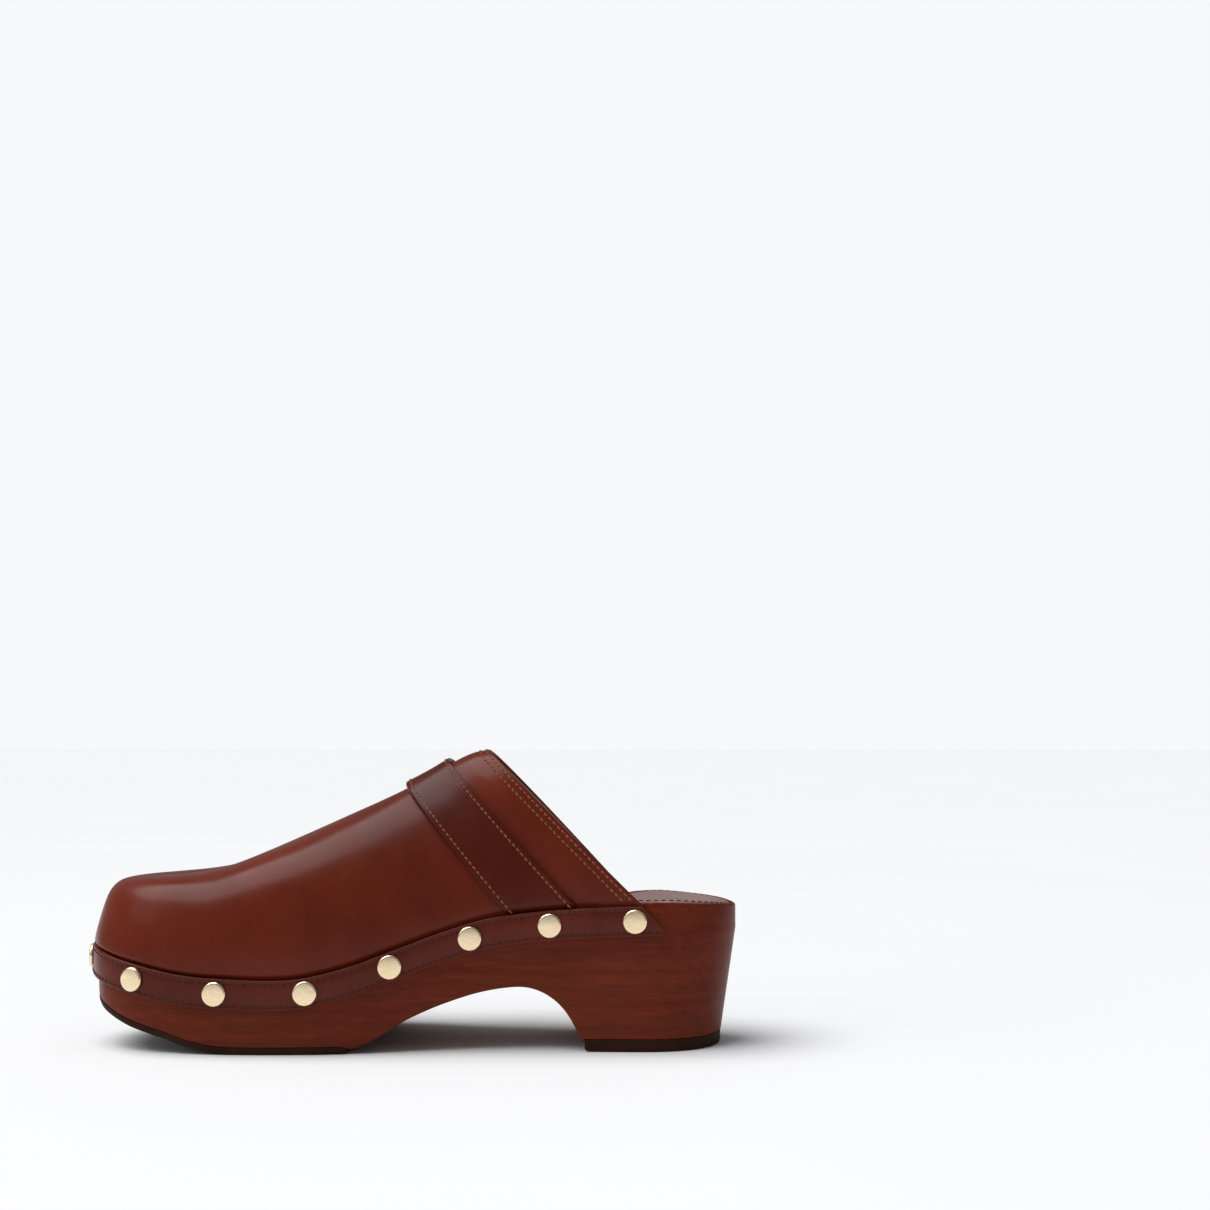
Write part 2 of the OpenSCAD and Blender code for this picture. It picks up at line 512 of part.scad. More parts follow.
// ---- Buckle: a frame bent at its bar, the bar itself, and a prong ----
module frame_half(reach) {
    r = 4;
    linear_extrude(frame_t, center = true) difference() {
        union() {
            translate([0, -frame_w / 2]) square([reach - r, frame_w]);
            translate([reach - r - 0.01, -frame_w / 2 + r]) square([r + 0.01, frame_w - 2 * r]);
            for (y = [-1, 1]) translate([reach - r, y * (frame_w / 2 - r)]) circle(r, $fn = 48);
        }
        translate([-1, -frame_w / 2 + rail]) square([reach - rail - 0.5, frame_w - 2 * rail]);
        translate([reach - rail - 2, -frame_w / 2 + rail + 1.5]) square([2, frame_w - 2 * rail - 3]);
        for (y = [-1, 1])
            translate([reach - rail - 1.5, y * (frame_w / 2 - rail - 1.5)]) circle(1.5, $fn = 48);
    }
}
module buckle_frame() {
    color("gold") at_buckle() difference() {
        union() {
            rotate([0, frame_bend, 0]) frame_half(up_reach);
            rotate([0, -frame_bend, 0]) rotate([0, 0, 180]) frame_half(down_reach);
            for (y = [-1, 1]) translate([0, y * (frame_w - rail) / 2, 0]) rotate([90, 0, 0])
                cylinder(r = 2.1, h = rail, center = true, $fn = 48);
        }
        rotate([90, 0, 0]) cylinder(d = bar_d + 0.04, h = frame_w + 2, center = true, $fn = 48);
    }
}
module buckle_bar() {
    color("goldenrod") at_buckle() rotate([90, 0, 0]) {
        cylinder(d = bar_d, h = frame_w + 0.2, center = true, $fn = 48);
        for (z = [-1, 1]) translate([0, 0, z * (frame_w / 2 + 0.35)])
            cylinder(r = 1.6, h = 0.6, center = true, $fn = 48);
    }
}
prong_d = 1.8;
module buckle_prong() {
    lift = 1.45;
    color("gold") at_buckle() difference() {
        union() {
            rotate([90, 0, 0]) cylinder(r = loop_r + 1.1, h = 2.4, center = true, $fn = 48);
            translate([0, 0, lift]) rotate([0, 90, 0]) cylinder(d = prong_d, h = up_reach + 0.6, $fn = 48);
            translate([up_reach + 0.6, 0, lift]) sphere(d = prong_d + 0.5, $fn = 48);
        }
        rotate([90, 0, 0]) cylinder(r = bar_d / 2 + 0.05, h = 6, center = true, $fn = 48);
    }
}

wooden_base();
forefoot_tread();
heel_tread();
footbed_foam();
insole_sock();
upper_leather();
toe_stiffener();
upper_lining();
topline_facing();
band();
band_studs();
strap();
strap_backing();
buckle_tab();
buckle_frame();
buckle_bar();
buckle_prong();
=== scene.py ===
"""The looks of a right-foot wooden clog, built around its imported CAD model. Everything is in metres."""
import math

import bmesh
import bpy
import numpy as np
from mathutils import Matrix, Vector


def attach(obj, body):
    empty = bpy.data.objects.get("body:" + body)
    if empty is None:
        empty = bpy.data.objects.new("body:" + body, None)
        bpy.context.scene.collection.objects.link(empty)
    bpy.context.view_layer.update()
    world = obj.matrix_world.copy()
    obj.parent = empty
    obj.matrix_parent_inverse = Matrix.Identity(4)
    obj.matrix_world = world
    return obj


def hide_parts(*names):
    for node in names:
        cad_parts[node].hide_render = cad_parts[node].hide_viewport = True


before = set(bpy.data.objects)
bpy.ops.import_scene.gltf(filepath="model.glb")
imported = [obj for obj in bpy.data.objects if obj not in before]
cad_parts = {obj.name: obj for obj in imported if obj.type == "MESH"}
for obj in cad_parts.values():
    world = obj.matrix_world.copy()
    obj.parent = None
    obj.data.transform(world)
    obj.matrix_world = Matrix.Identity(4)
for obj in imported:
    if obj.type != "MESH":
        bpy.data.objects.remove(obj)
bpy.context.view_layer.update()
MM = 0.001
ROOT, BUCKLE, PRONG = "clog", "buckle", "prong"

# ---------------------------------------------------------------- shape of the clog, in millimetres
CENTRE = (1.3148, -2.3749)
INNER = [(126.5, 0), (122, -13), (112, -22.5), (97, -27.5), (76, -28), (50, -27), (25, -27.5), (-2, -31),
         (-33, -35.5), (-60, -36.5), (-84, -35), (-103, -31), (-116.5, -23), (-123.2, -12), (-125.4, 0)]
OUTER = [(126.5, 0), (122, 13), (112, 22.5), (97, 27.5), (76, 28.5), (45, 30.5), (15, 34.5), (-15, 39),
         (-44, 41), (-68, 40.5), (-88, 37.5), (-105, 31), (-117, 21.5), (-123.2, 11), (-125.4, 0)]
BAND_LINE = [(-130, 34.2), (-121, 32), (-112, 29.5), (-102, 27.3), (-86, 24.1), (-72, 22.8), (-42, 22.4),
             (-22, 26.6), (-3, 33.3), (14, 39.4), (32, 44.5), (55, 47.5), (77, 48.7), (97, 49.3),
             (112, 49.4), (128, 48.2)]
HEEL_LINE = [(48, 51.5), (60, 52.8), (77, 54.6), (90, 55.8), (97, 56), (112, 55.2), (122, 54.4), (128, 53.3)]
SOLE_LINE = [(-130, 21), (-121, 15.8), (-107, 9.8), (-97, 6.9), (-90, 5), (-81, 2.2), (-72, 0.5), (-64, 0),
             (-40, 0), (-21, 0), (-16, 2.4), (-10, 5.6), (-0.6, 11.3), (8.7, 15.6), (18, 19), (28, 21.9),
             (38, 23.6), (45, 23.8), (51, 22.2), (56.6, 18.8), (60.8, 14.4), (63.9, 9.4), (66.7, 3.5),
             (68, 0.6), (69, 0), (90, 0), (130, 0)]
RIDGE_LINE = [(-100, 63.2), (-88, 64.7), (-76, 67.2), (-66, 70.9), (-56, 75.2), (-42, 81.3), (-26, 88.4),
              (-10, 95.6), (-2, 99.6), (6, 103.9), (14, 108.7), (22, 112.5), (29, 114)]
TOPLINE, LEAD, PUFF_FROM = 0.177, 0.0225, 0.74
RIDGE_PLAN = [(TOPLINE, 29, -1), (0.266, 12, -1), (0.354, -3.8, -1), (0.485, -30, -1), (0.62, -54, 0),
              (0.76, -74, 1), (0.875, -87, 1), (1, -95, 0)]
BALL_END, HEEL_FRONT = -21, 69
FOREFOOT_TREAD, HEEL_TREAD, HEEL_CUP = 2.5, 4.5, 3.0
LEATHER, PUFF, LINING, GLUE = 1.6, 0.6, 0.9, 0.05
BAND_W, BAND_T = 11.2, 2.0
LEDGE_DROP, RIM_RISE = BAND_W / 2 - 1.6, 4.8


def clamp01(v):
    return max(0.0, min(1.0, v))


def ease(v):
    c = clamp01(v)
    return c * c * (3 - 2 * c)


def mix(a, b, f):
    return a + (b - a) * f


def curve(table, x):
    """Smooth curve through (x, value) points, as in the CAD."""
    i = 0
    while i < len(table) - 2 and x >= table[i + 1][0]:
        i += 1

    def tangent(k):
        a, b = max(0, k - 1), min(len(table) - 1, k + 1)
        return (table[b][1] - table[a][1]) / (table[b][0] - table[a][0])

    w = table[i + 1][0] - table[i][0]
    u = clamp01((x - table[i][0]) / w)
    return ((1 + 2 * u) * (1 - u) ** 2 * table[i][1] + u * (1 - u) ** 2 * w * tangent(i)
            + u * u * (3 - 2 * u) * table[i + 1][1] + u * u * (u - 1) * w * tangent(i + 1))


def half_rim(own, other, steps=40):
    p = [np.array(q, float) for q in [other[1], *own, other[-2]]]
    out = []
    for i in range(len(own) - 1):
        a, b, c, d = p[i:i + 4]
        for k in range(steps):
            u = k / steps
            out.append(0.5 * (2 * b + (c - a) * u + (2 * a - 5 * b + 4 * c - d) * u * u
                              + (3 * b - a - 3 * c + d) * u ** 3))
    out.append(p[-2])
    out = np.array(out)
    run = np.concatenate([[0], np.cumsum(np.linalg.norm(np.diff(out, axis=0), axis=1))])
    return run / run[-1], out, run[-1]


RIMS = [half_rim(INNER, OUTER), half_rim(OUTER, INNER)]


def pattern_at(side, t):
    if t > 1:
        side, t = 1 - side, 2 - t
    elif t < 0:
        side, t = 1 - side, -t
    s, p, _ = RIMS[side]
    return np.array([np.interp(t, s, p[:, 0]), np.interp(t, s, p[:, 1])])


def rim_normal(side, t, probe=0.006):
    d = pattern_at(side, t + probe) - pattern_at(side, t - probe)
    n = np.array([-d[1], d[0]]) if side == 0 else np.array([d[1], -d[0]])
    return n / np.linalg.norm(n)


def rim(side, t, out=0.0):
    p = pattern_at(side, t) + out * rim_normal(side, t)
    return np.array([p[0] + CENTRE[0], p[1] + CENTRE[1]])


def band_z(x):
    return curve(BAND_LINE, x - CENTRE[0])


def sole_z(x):
    return max(0.0, curve(SOLE_LINE, x - CENTRE[0]))


def puff_in(t):
    return (PUFF + GLUE) * ease((t - PUFF_FROM + 0.07) / 0.06)


def step_in(side, t):
    return (LEATHER + 3 * GLUE + puff_in(t) + LINING) * ease((t - TOPLINE - side * LEAD + 0.01) / 0.01)


def wood_bottom(x):
    u = x - CENTRE[0]
    if u < BALL_END + 8:
        z = sole_z(x) + FOREFOOT_TREAD * ease((BALL_END + 8 - u) / 12)
    elif u > HEEL_FRONT - 8:
        z = HEEL_TREAD
    else:
        z = 0
    return max(sole_z(x), z) + GLUE


def rim_z(x):
    u = x - CENTRE[0]
    return mix(band_z(x) + RIM_RISE, curve(HEEL_LINE, u), ease((u - 50) / 12))


def footbed_z(x, f):
    cup = mix(HEEL_CUP, 1.4, ease((60 - (x - CENTRE[0])) / 60))
    return rim_z(x) - cup * (1 - (2 * f - 1) ** 4)


def ridge(t):
    x = curve([(r[0], r[1]) for r in RIDGE_PLAN], t)
    y = curve([(r[0], r[2]) for r in RIDGE_PLAN], t)
    return np.array([x + CENTRE[0], y + CENTRE[1], curve(RIDGE_LINE, x)])


def foot_place(side, t):
    """Place along a side's rim where the cross line at t starts: further forward on the outer side."""
    return t + side * LEAD * ease((0.45 - t) / 0.27)


def swell(t, s):
    """How far the leather swells out over the band, at climb s."""
    return mix(0.8, 1.9, ease((t - 0.33) / 0.25)) * ease(s / 0.035) * (1 - ease((s - 0.04) / 0.5))


def upper_point(side, t, s, out=0.0):
    """Point on the upper: place t along the rim, climb s (below 0 behind the band, 1 on the ridge)."""
    f = foot_place(side, t)
    r0, r, top, nn = rim(side, f), rim(side, f, out), ridge(t), -rim_normal(side, f)
    z0 = band_z(r0[0]) + BAND_W / 2
    if s <= 0:
        return np.array([r[0], r[1], mix(z0, band_z(r0[0]) - LEDGE_DROP + GLUE, -s)])
    if s >= 1:
        return np.array([top[0], top[1], top[2] + out])
    n = 2.05 + 1.45 * ease((t - 0.3) / 0.45) + 3 * ease((t - 0.75) / 0.25)
    lean = 0.11 * ease((t - 0.75) / 0.2)
    d = top[:2] - r
    dn = float(d @ nn)
    c, q = math.cos(s * math.pi / 2), math.sin(s * math.pi / 2)
    reach = (c ** n + q ** n) ** (-1 / n)
    b, flat = reach * q, 1 - reach * c
    a = flat + lean * b * (1 - flat)
    p = r + nn * (dn * a - swell(t, s)) + (d - dn * nn) * b
    return np.array([p[0], p[1], z0 + (top[2] + out - z0) * b])


def upper_normal(side, t, s):
    """Outward normal of the upper. Beyond the ridge the climb carries on down the other side."""
    e = 0.012

    def at(tt, ss):
        return upper_point(1 - side, tt, 2 - ss) if ss > 1 else upper_point(side, tt, ss)
    a = at(min(1, t + e), s) - at(max(0, t - e), s)
    b = at(t, s + e) - at(t, s - e)
    n = np.cross(a, b)
    n /= max(1e-9, np.linalg.norm(n))
    middle = np.array([ridge(t)[0], CENTRE[1], 40.0])
    return n if n @ (at(t, s) - middle) > 0 else -n


# ---------------------------------------------------------------- meshes
def make(name, verts, faces, body, material, replaces=(), smooth_angle=40, merge=0.004):
    """An object from points in millimetres: merged, with even normals, and riding on its body."""
    mesh = bpy.data.meshes.new(name)
    mesh.from_pydata([tuple(float(c) * MM for c in v) for v in verts], [], faces)
    bm = bmesh.new()
    bm.from_mesh(mesh)
    bmesh.ops.remove_doubles(bm, verts=bm.verts, dist=merge * MM)
    bmesh.ops.dissolve_degenerate(bm, edges=bm.edges, dist=1e-7)
    loose = [v for v in bm.verts if not v.link_faces]
    bmesh.ops.delete(bm, geom=loose, context="VERTS")
    bmesh.ops.recalc_face_normals(bm, faces=bm.faces)
    for f in bm.faces:
        f.smooth = True
    limit = math.radians(smooth_angle)
    for e in bm.edges:
        e.smooth = not (len(e.link_faces) == 2 and e.calc_face_angle(0.0) > limit)
    bm.to_mesh(mesh)
    bm.free()
    obj = bpy.data.objects.new(name, mesh)
    bpy.context.scene.collection.objects.link(obj)
    mesh.materials.append(material)
    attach(obj, body)
    if replaces:
        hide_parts(*replaces)
    return obj


def grid_faces(n, m, start=0, closed=False):
    cols = m if closed else m - 1
    return [(start + i * m + j, start + i * m + (j + 1) % m,
             start + (i + 1) * m + (j + 1) % m, start + (i + 1) * m + j)
            for i in range(n - 1) for j in range(cols)]


def loops_mesh(rows, cap_first=True, cap_last=True, sheet=False):
    """A tube through closed loops of points. Its ends are fans, or, for a sheet whose loop runs out along one
    face and back along the other, strips across the sheet's thickness."""
    n, m = len(rows), len(rows[0])
    verts = [p for row in rows for p in row]
    faces = grid_faces(n, m, closed=True)
    for use, row in ((cap_first, 0), (cap_last, n - 1)):
        if use and sheet:
            faces += [(row * m + j, row * m + j + 1, row * m + m - 2 - j, row * m + m - 1 - j)
                      for j in range(m // 2 - 1)]
        elif use:
            verts.append(np.mean(rows[row], axis=0))
            c = len(verts) - 1
            faces += [(row * m + j, row * m + (j + 1) % m, c) for j in range(m)]
    return verts, faces


def spread(a, b, count):
    return [mix(a, b, k / count) for k in range(count + 1)]


# ---- stitches
def seam(points, normals, pitch, width=0.55, fill=0.74, height=0.3, sink=0.16):
    """Thread stitches along a path: short rounded tubes whose ends dive into the leather."""
    points, normals = np.array(points), np.array(normals)
    run = np.concatenate([[0], np.cumsum(np.linalg.norm(np.diff(points, axis=0), axis=1))])
    count = max(1, int(round(run[-1] / pitch)))
    step = run[-1] / count

    def at(d):
        p = np.array([np.interp(d, run, points[:, k]) for k in range(3)])
        n = np.array([np.interp(d, run, normals[:, k]) for k in range(3)])
        return p, n / np.linalg.norm(n)
    verts, faces = [], []
    rings = [(-0.5, -sink, 0.45), (-0.42, 0.3 * height, 0.85), (-0.2, height * 0.85, 1.0),
             (0.2, height * 0.85, 1.0), (0.42, 0.3 * height, 0.85), (0.5, -sink, 0.45)]
    for k in range(count):
        mid = (k + 0.5) * step
        loop = []
        for along, lift, thick in rings:
            p, n = at(mid + along * fill * step)
            ahead, _ = at(mid + along * fill * step + 0.1)
            back, _ = at(mid + along * fill * step - 0.1)
            t = ahead - back
            t /= np.linalg.norm(t)
            b = np.cross(n, t)
            r = width / 2 * thick
            loop.append([p + n * (lift - 0.1 + r * 0.75 * math.sin(q)) + b * r * math.cos(q)
                         for q in np.linspace(0, 2 * math.pi, 7)[:-1]])
        v, f = loops_mesh(loop)
        faces += [tuple(i + len(verts) for i in face) for face in f]
        verts += v
    return verts, faces


def join(parts):
    verts, faces = [], []
    for v, f in parts:
        faces += [tuple(i + len(verts) for i in face) for face in f]
        verts += list(v)
    return verts, faces


# ---------------------------------------------------------------- materials
class Nodes:
    """A short way to write a node material."""

    def __init__(self, name):
        self.material = bpy.data.materials.new(name)
        self.material.use_nodes = True
        self.tree = self.material.node_tree
        self.tree.nodes.clear()
        self.out = self.tree.nodes.new("ShaderNodeOutputMaterial")
        self.shader = self.tree.nodes.new("ShaderNodeBsdfPrincipled")
        self.link(self.shader.outputs[0], self.out.inputs[0])
        self.coords = self.tree.nodes.new("ShaderNodeTexCoord").outputs["Object"]

    def link(self, a, b):
        self.tree.links.new(a, b)

    def plug(self, socket, value):
        if isinstance(value, bpy.types.NodeSocket):
            self.link(value, socket)
        else:
            socket.default_value = value

    def set(self, **values):
        for key, value in values.items():
            self.plug(self.shader.inputs[key.replace("_", " ")], value)

    def scaled(self, x, y, z, source=None):
        m = self.tree.nodes.new("ShaderNodeMapping")
        self.link(source or self.coords, m.inputs["Vector"])
        m.inputs["Scale"].default_value = (x, y, z)
        return m.outputs[0]

    def noise(self, scale, detail=3.0, rough=0.5, vector=None, distortion=0.0):
        n = self.tree.nodes.new("ShaderNodeTexNoise")
        self.link(vector or self.coords, n.inputs["Vector"])
        n.inputs["Scale"].default_value = scale
        n.inputs["Detail"].default_value = detail
        n.inputs["Roughness"].default_value = rough
        n.inputs["Distortion"].default_value = distortion
        return n.outputs["Fac"]

    def cells(self, scale, feature="F1", vector=None):
        n = self.tree.nodes.new("ShaderNodeTexVoronoi")
        n.feature = feature
        self.link(vector or self.coords, n.inputs["Vector"])
        n.inputs["Scale"].default_value = scale
        return n.outputs["Distance"]

    def math(self, op, a, b=0.0, clamp=False):
        n = self.tree.nodes.new("ShaderNodeMath")
        n.operation, n.use_clamp = op, clamp
        self.plug(n.inputs[0], a)
        self.plug(n.inputs[1], b)
        return n.outputs[0]

    def ramp(self, value, *stops):
        n = self.tree.nodes.new("ShaderNodeValToRGB")
        self.link(value, n.inputs[0])
        while len(n.color_ramp.elements) < len(stops):
            n.color_ramp.elements.new(0.5)
        for e, (at, colour) in zip(n.color_ramp.elements, stops):
            e.position = at
            e.color = (*colour, 1) if isinstance(colour, tuple) else (colour, colour, colour, 1)
        return n.outputs[0]

    def blend(self, factor, a, b, kind="MIX"):
        n = self.tree.nodes.new("ShaderNodeMix")
        n.data_type, n.blend_type = "RGBA", kind
        self.plug(n.inputs["Factor"], factor)
        for key, value in (("A", a), ("B", b)):
            socket = [s for s in n.inputs if s.name == key and s.type == "RGBA"][0]
            self.plug(socket, (*value, 1) if isinstance(value, tuple) else value)
        return [s for s in n.outputs if s.type == "RGBA"][0]

    def bump(self, *layers):
        normal = None
        for height, strength, distance in layers:
            n = self.tree.nodes.new("ShaderNodeBump")
            n.inputs["Strength"].default_value = strength
            n.inputs["Distance"].default_value = distance
            self.link(height, n.inputs["Height"])
            if normal:
                self.link(normal, n.inputs["Normal"])
            normal = n.outputs[0]
        self.link(normal, self.shader.inputs["Normal"])


def polished_leather(name, dark, main, light, rough=0.3, coat=0.08, pores=0.16):
    """Smooth leather, polished by hand: clouds of colour, faint scratches, fine grain and a faint, broad
    waviness.
    """
    n = Nodes(name)
    cloud = n.ramp(n.noise(16, 5, 0.6), (0.3, dark), (0.52, main), (0.78, light))
    rubbed = n.blend(n.math("MULTIPLY", n.ramp(n.noise(55, 4, 0.65), (0.45, 0.0), (0.8, 1.0)), 0.3),
                     cloud, light)
    scratch = n.ramp(n.noise(55, 4, 0.7, n.scaled(1.0, 3.0, 14.0), 0.8),
                     (0.62, 0.0), (0.68, 1.0), (0.74, 0.0))
    colour = n.blend(n.math("MULTIPLY", scratch, 0.14), rubbed, light)
    fine = n.ramp(n.noise(600, 3, 0.6), (0.35, 0.0), (0.7, 1.0))
    colour = n.blend(n.math("MULTIPLY", fine, 0.16), colour, dark)
    n.set(Base_Color=colour, Roughness=n.ramp(n.noise(70, 4, 0.6), (0.3, rough * 0.8), (0.7, rough * 1.3)),
          Coat_Weight=coat, Coat_Roughness=0.18, Specular_IOR_Level=0.11)
    n.bump((n.noise(26, 2, 0.4), 0.05, 0.0012), (n.noise(260, 4, 0.65), pores * 0.6, 0.00018),
           (n.cells(1700, "SMOOTH_F1"), pores, 0.00009))
    return n.material


def matt_leather(name, dark, main, rough=0.6, sheen=0.0, scale=900):
    n = Nodes(name)
    colour = n.ramp(n.noise(40, 5, 0.6), (0.3, dark), (0.7, main))
    n.set(Base_Color=colour, Roughness=n.ramp(n.noise(90, 3), (0.3, rough * 0.85), (0.75, rough * 1.15)),
          Sheen_Weight=sheen)
    n.bump((n.cells(scale, "SMOOTH_F1"), 0.3, 0.0002), (n.noise(scale * 0.7, 4, 0.6), 0.35, 0.00015))
    return n.material


def stained_wood(name):
    n = Nodes(name)
    long = n.scaled(1.0, 9.0, 9.0)
    warp = n.noise(9, 3, 0.5, long)
    fibres = n.noise(60, 6, 0.65, n.scaled(1.0, 14.0, 14.0), 0.4)
    lines = n.noise(170, 4, 0.7, n.scaled(1.0, 18.0, 18.0))
    rings = n.tree.nodes.new("ShaderNodeTexWave")
    rings.wave_type, rings.bands_direction = "BANDS", "Z"
    n.link(n.scaled(0.35, 1.5, 4.2), rings.inputs["Vector"])
    rings.inputs["Scale"].default_value = 11
    rings.inputs["Distortion"].default_value = 7
    rings.inputs["Detail"].default_value = 3
    rings.inputs["Detail Scale"].default_value = 2.2
    base = n.ramp(fibres, (0.25, (0.095, 0.012, 0.004)), (0.5, (0.14, 0.018, 0.006)),
                  (0.78, (0.19, 0.03, 0.009)))
    ringed = n.blend(n.math("MULTIPLY", rings.outputs["Fac"], 0.3), base, (0.045, 0.008, 0.0035))
    streaked = n.blend(n.math("MULTIPLY", n.ramp(lines, (0.5, 0.0), (0.7, 1.0)), 0.3), ringed,
                       (0.035, 0.006, 0.003))
    patch = n.blend(n.math("MULTIPLY", n.ramp(warp, (0.35, 0.0), (0.75, 1.0)), 0.25), streaked,
                    (0.17, 0.045, 0.017))
    n.set(Base_Color=patch, Roughness=n.ramp(fibres, (0.2, 0.4), (0.8, 0.32)),
          Coat_Weight=0.03, Coat_Roughness=0.2,
          Specular_IOR_Level=0.07)
    n.bump((fibres, 0.1, 0.0002), (lines, 0.12, 0.00012))
    return n.material


def rubber(name):
    n = Nodes(name)
    n.set(Base_Color=n.ramp(n.noise(70, 5, 0.6), (0.3, (0.022, 0.0075, 0.003)),
                             (0.75, (0.036, 0.013, 0.005))),
          Roughness=n.ramp(n.noise(200, 3), (0.3, 0.5), (0.7, 0.68)), Specular_IOR_Level=0.08)
    n.bump((n.noise(900, 3, 0.6), 0.35, 0.0002), (n.noise(120, 2), 0.2, 0.0004))
    return n.material


def gold(name, rough=0.13, dull=(0.83, 0.58, 0.27), bright=(0.93, 0.7, 0.38)):
    n = Nodes(name)
    n.set(Base_Color=n.ramp(n.noise(90, 3), (0.3, dull), (0.7, bright)), Metallic=1.0,
          Roughness=n.ramp(n.noise(260, 4, 0.6, n.scaled(1, 1, 6)), (0.3, rough * 0.7), (0.75, rough * 1.7)))
    n.bump((n.noise(500, 2), 0.05, 0.0001), (n.noise(40, 2), 0.08, 0.0004))
    return n.material


def thread(name, dark, light):
    n = Nodes(name)
    twist = n.tree.nodes.new("ShaderNodeTexWave")
    twist.bands_direction = "DIAGONAL"
    n.link(n.coords, twist.inputs["Vector"])
    twist.inputs["Scale"].default_value = 900
    n.set(Base_Color=n.ramp(n.math("MULTIPLY", twist.outputs["Fac"], n.noise(300)),
                             (0.1, dark), (0.7, light)),
          Roughness=0.7, Specular_IOR_Level=0.25)
    n.bump((twist.outputs["Fac"], 0.5, 0.00012))
    return n.material


def foam(name):
    n = Nodes(name)
    n.set(Base_Color=n.ramp(n.noise(200, 4), (0.3, (0.55, 0.48, 0.36)), (0.7, (0.7, 0.63, 0.5))),
          Roughness=0.9)
    n.bump((n.cells(1400), 0.6, 0.0004))
    return n.material


UPPER = polished_leather("upper_leather", (0.088, 0.0108, 0.004), (0.13, 0.0165, 0.0058),
                         (0.172, 0.026, 0.0095))
BAND = polished_leather("band_leather", (0.07, 0.0095, 0.005), (0.102, 0.0155, 0.0075),
                        (0.14, 0.025, 0.012), 0.3)
# The strap's leather gets darker colours than the upper's: painted shade for the strap, which lies less in
# the light. The buckle tab uses the same darkened leather.
SHADED_STRAP_LEATHER = polished_leather("strap_leather", (0.05, 0.006, 0.003), (0.078, 0.0095, 0.0042),
                         (0.115, 0.017, 0.0075), 0.28)
BACKING = matt_leather("strap_backing_leather", (0.03, 0.01, 0.007), (0.07, 0.022, 0.014), 0.45)
LINING_MAT = matt_leather("lining_leather", (0.16, 0.085, 0.055), (0.27, 0.155, 0.105), 0.62, 0.2, 700)
FACING = matt_leather("facing_leather", (0.1, 0.035, 0.022), (0.17, 0.065, 0.04), 0.5)
SOCK = matt_leather("sock_leather", (0.2, 0.115, 0.105), (0.3, 0.185, 0.17), 0.42, 0.0, 1100)
WOOD = stained_wood("stained_wood")
RUBBER = rubber("tread_rubber")
GOLD = gold("stud_gold", 0.24, (0.88, 0.69, 0.43), (0.95, 0.78, 0.53))
BUCKLE_GOLD = gold("buckle_gold", 0.1)
THREAD = thread("brown_thread", (0.035, 0.007, 0.004), (0.13, 0.03, 0.014))
BRIGHT_THREAD = thread("orange_brown_thread", (0.16, 0.045, 0.018), (0.42, 0.15, 0.06))
SOCK_THREAD = thread("sock_thread", (0.015, 0.008, 0.007), (0.05, 0.028, 0.024))
FOAM = foam("footbed_foam")
FIBRE = matt_leather("toe_fibre", (0.3, 0.22, 0.14), (0.42, 0.32, 0.22), 0.85)


# ---------------------------------------------------------------- wooden base
def side_draft(side, t):
    return 0.055 + 0.1 * max(0.0, rim_normal(side, t)[0]) ** 2


def wall_column(side, t):
    """Side of the base from its bottom edge up to its rim, with both edges rounded."""
    x = rim(side, t)[0]
    ledge, low = band_z(x) - LEDGE_DROP, wood_bottom(x)
    draft = side_draft(side, t)
    r = 0.6
    pts = []
    for a in spread(0, 90, 4):
        up, back = r * (1 - math.cos(math.radians(a))), r * (1 - math.sin(math.radians(a)))
        p = rim(side, t, -draft * (ledge - low) + draft * up - back)
        pts.append([p[0], p[1], wood_bottom(p[0]) + up])
    for f in (0.25, 0.5, 0.75, 1):
        z = mix(pts[4][2], ledge, f)
        p = rim(side, t, -draft * (ledge - z) if f < 1 else 0)
        pts.append([p[0], p[1], z])
    inset = step_in(side, t)
    top, r = rim_z(x), 1.0
    p = rim(side, t, -inset)
    pts.append([p[0], p[1], ledge + 0.01])
    for a in spread(0, 90, 4):
        p = rim(side, t, -inset - r * (1 - math.cos(math.radians(a))))
        pts.append([p[0], p[1], top - r + r * math.sin(math.radians(a))])
    return [np.array(q) for q in pts]


def base_loop(t, across=26, under=10):
    a, b = wall_column(0, t), wall_column(1, t)
    shut = t <= 0 or t >= 1
    top = []
    for j in range(1, across):
        f = j / across
        p = mix(a[-1], b[-1], f)
        top.append(np.array([p[0], p[1], a[-1][2] if shut else footbed_z(p[0], f)]))
    low = []
    for j in range(1, under):
        p = mix(b[0], a[0], j / under)
        low.append(np.array([p[0], p[1], wood_bottom(p[0])]))
    return a + top + b[::-1] + low


ROWS = 300
verts, faces = loops_mesh([base_loop(i / ROWS) for i in range(ROWS + 1)], False, False)
make("wooden_base_block", verts, faces, ROOT, WOOD, ["wooden_base"], 50)


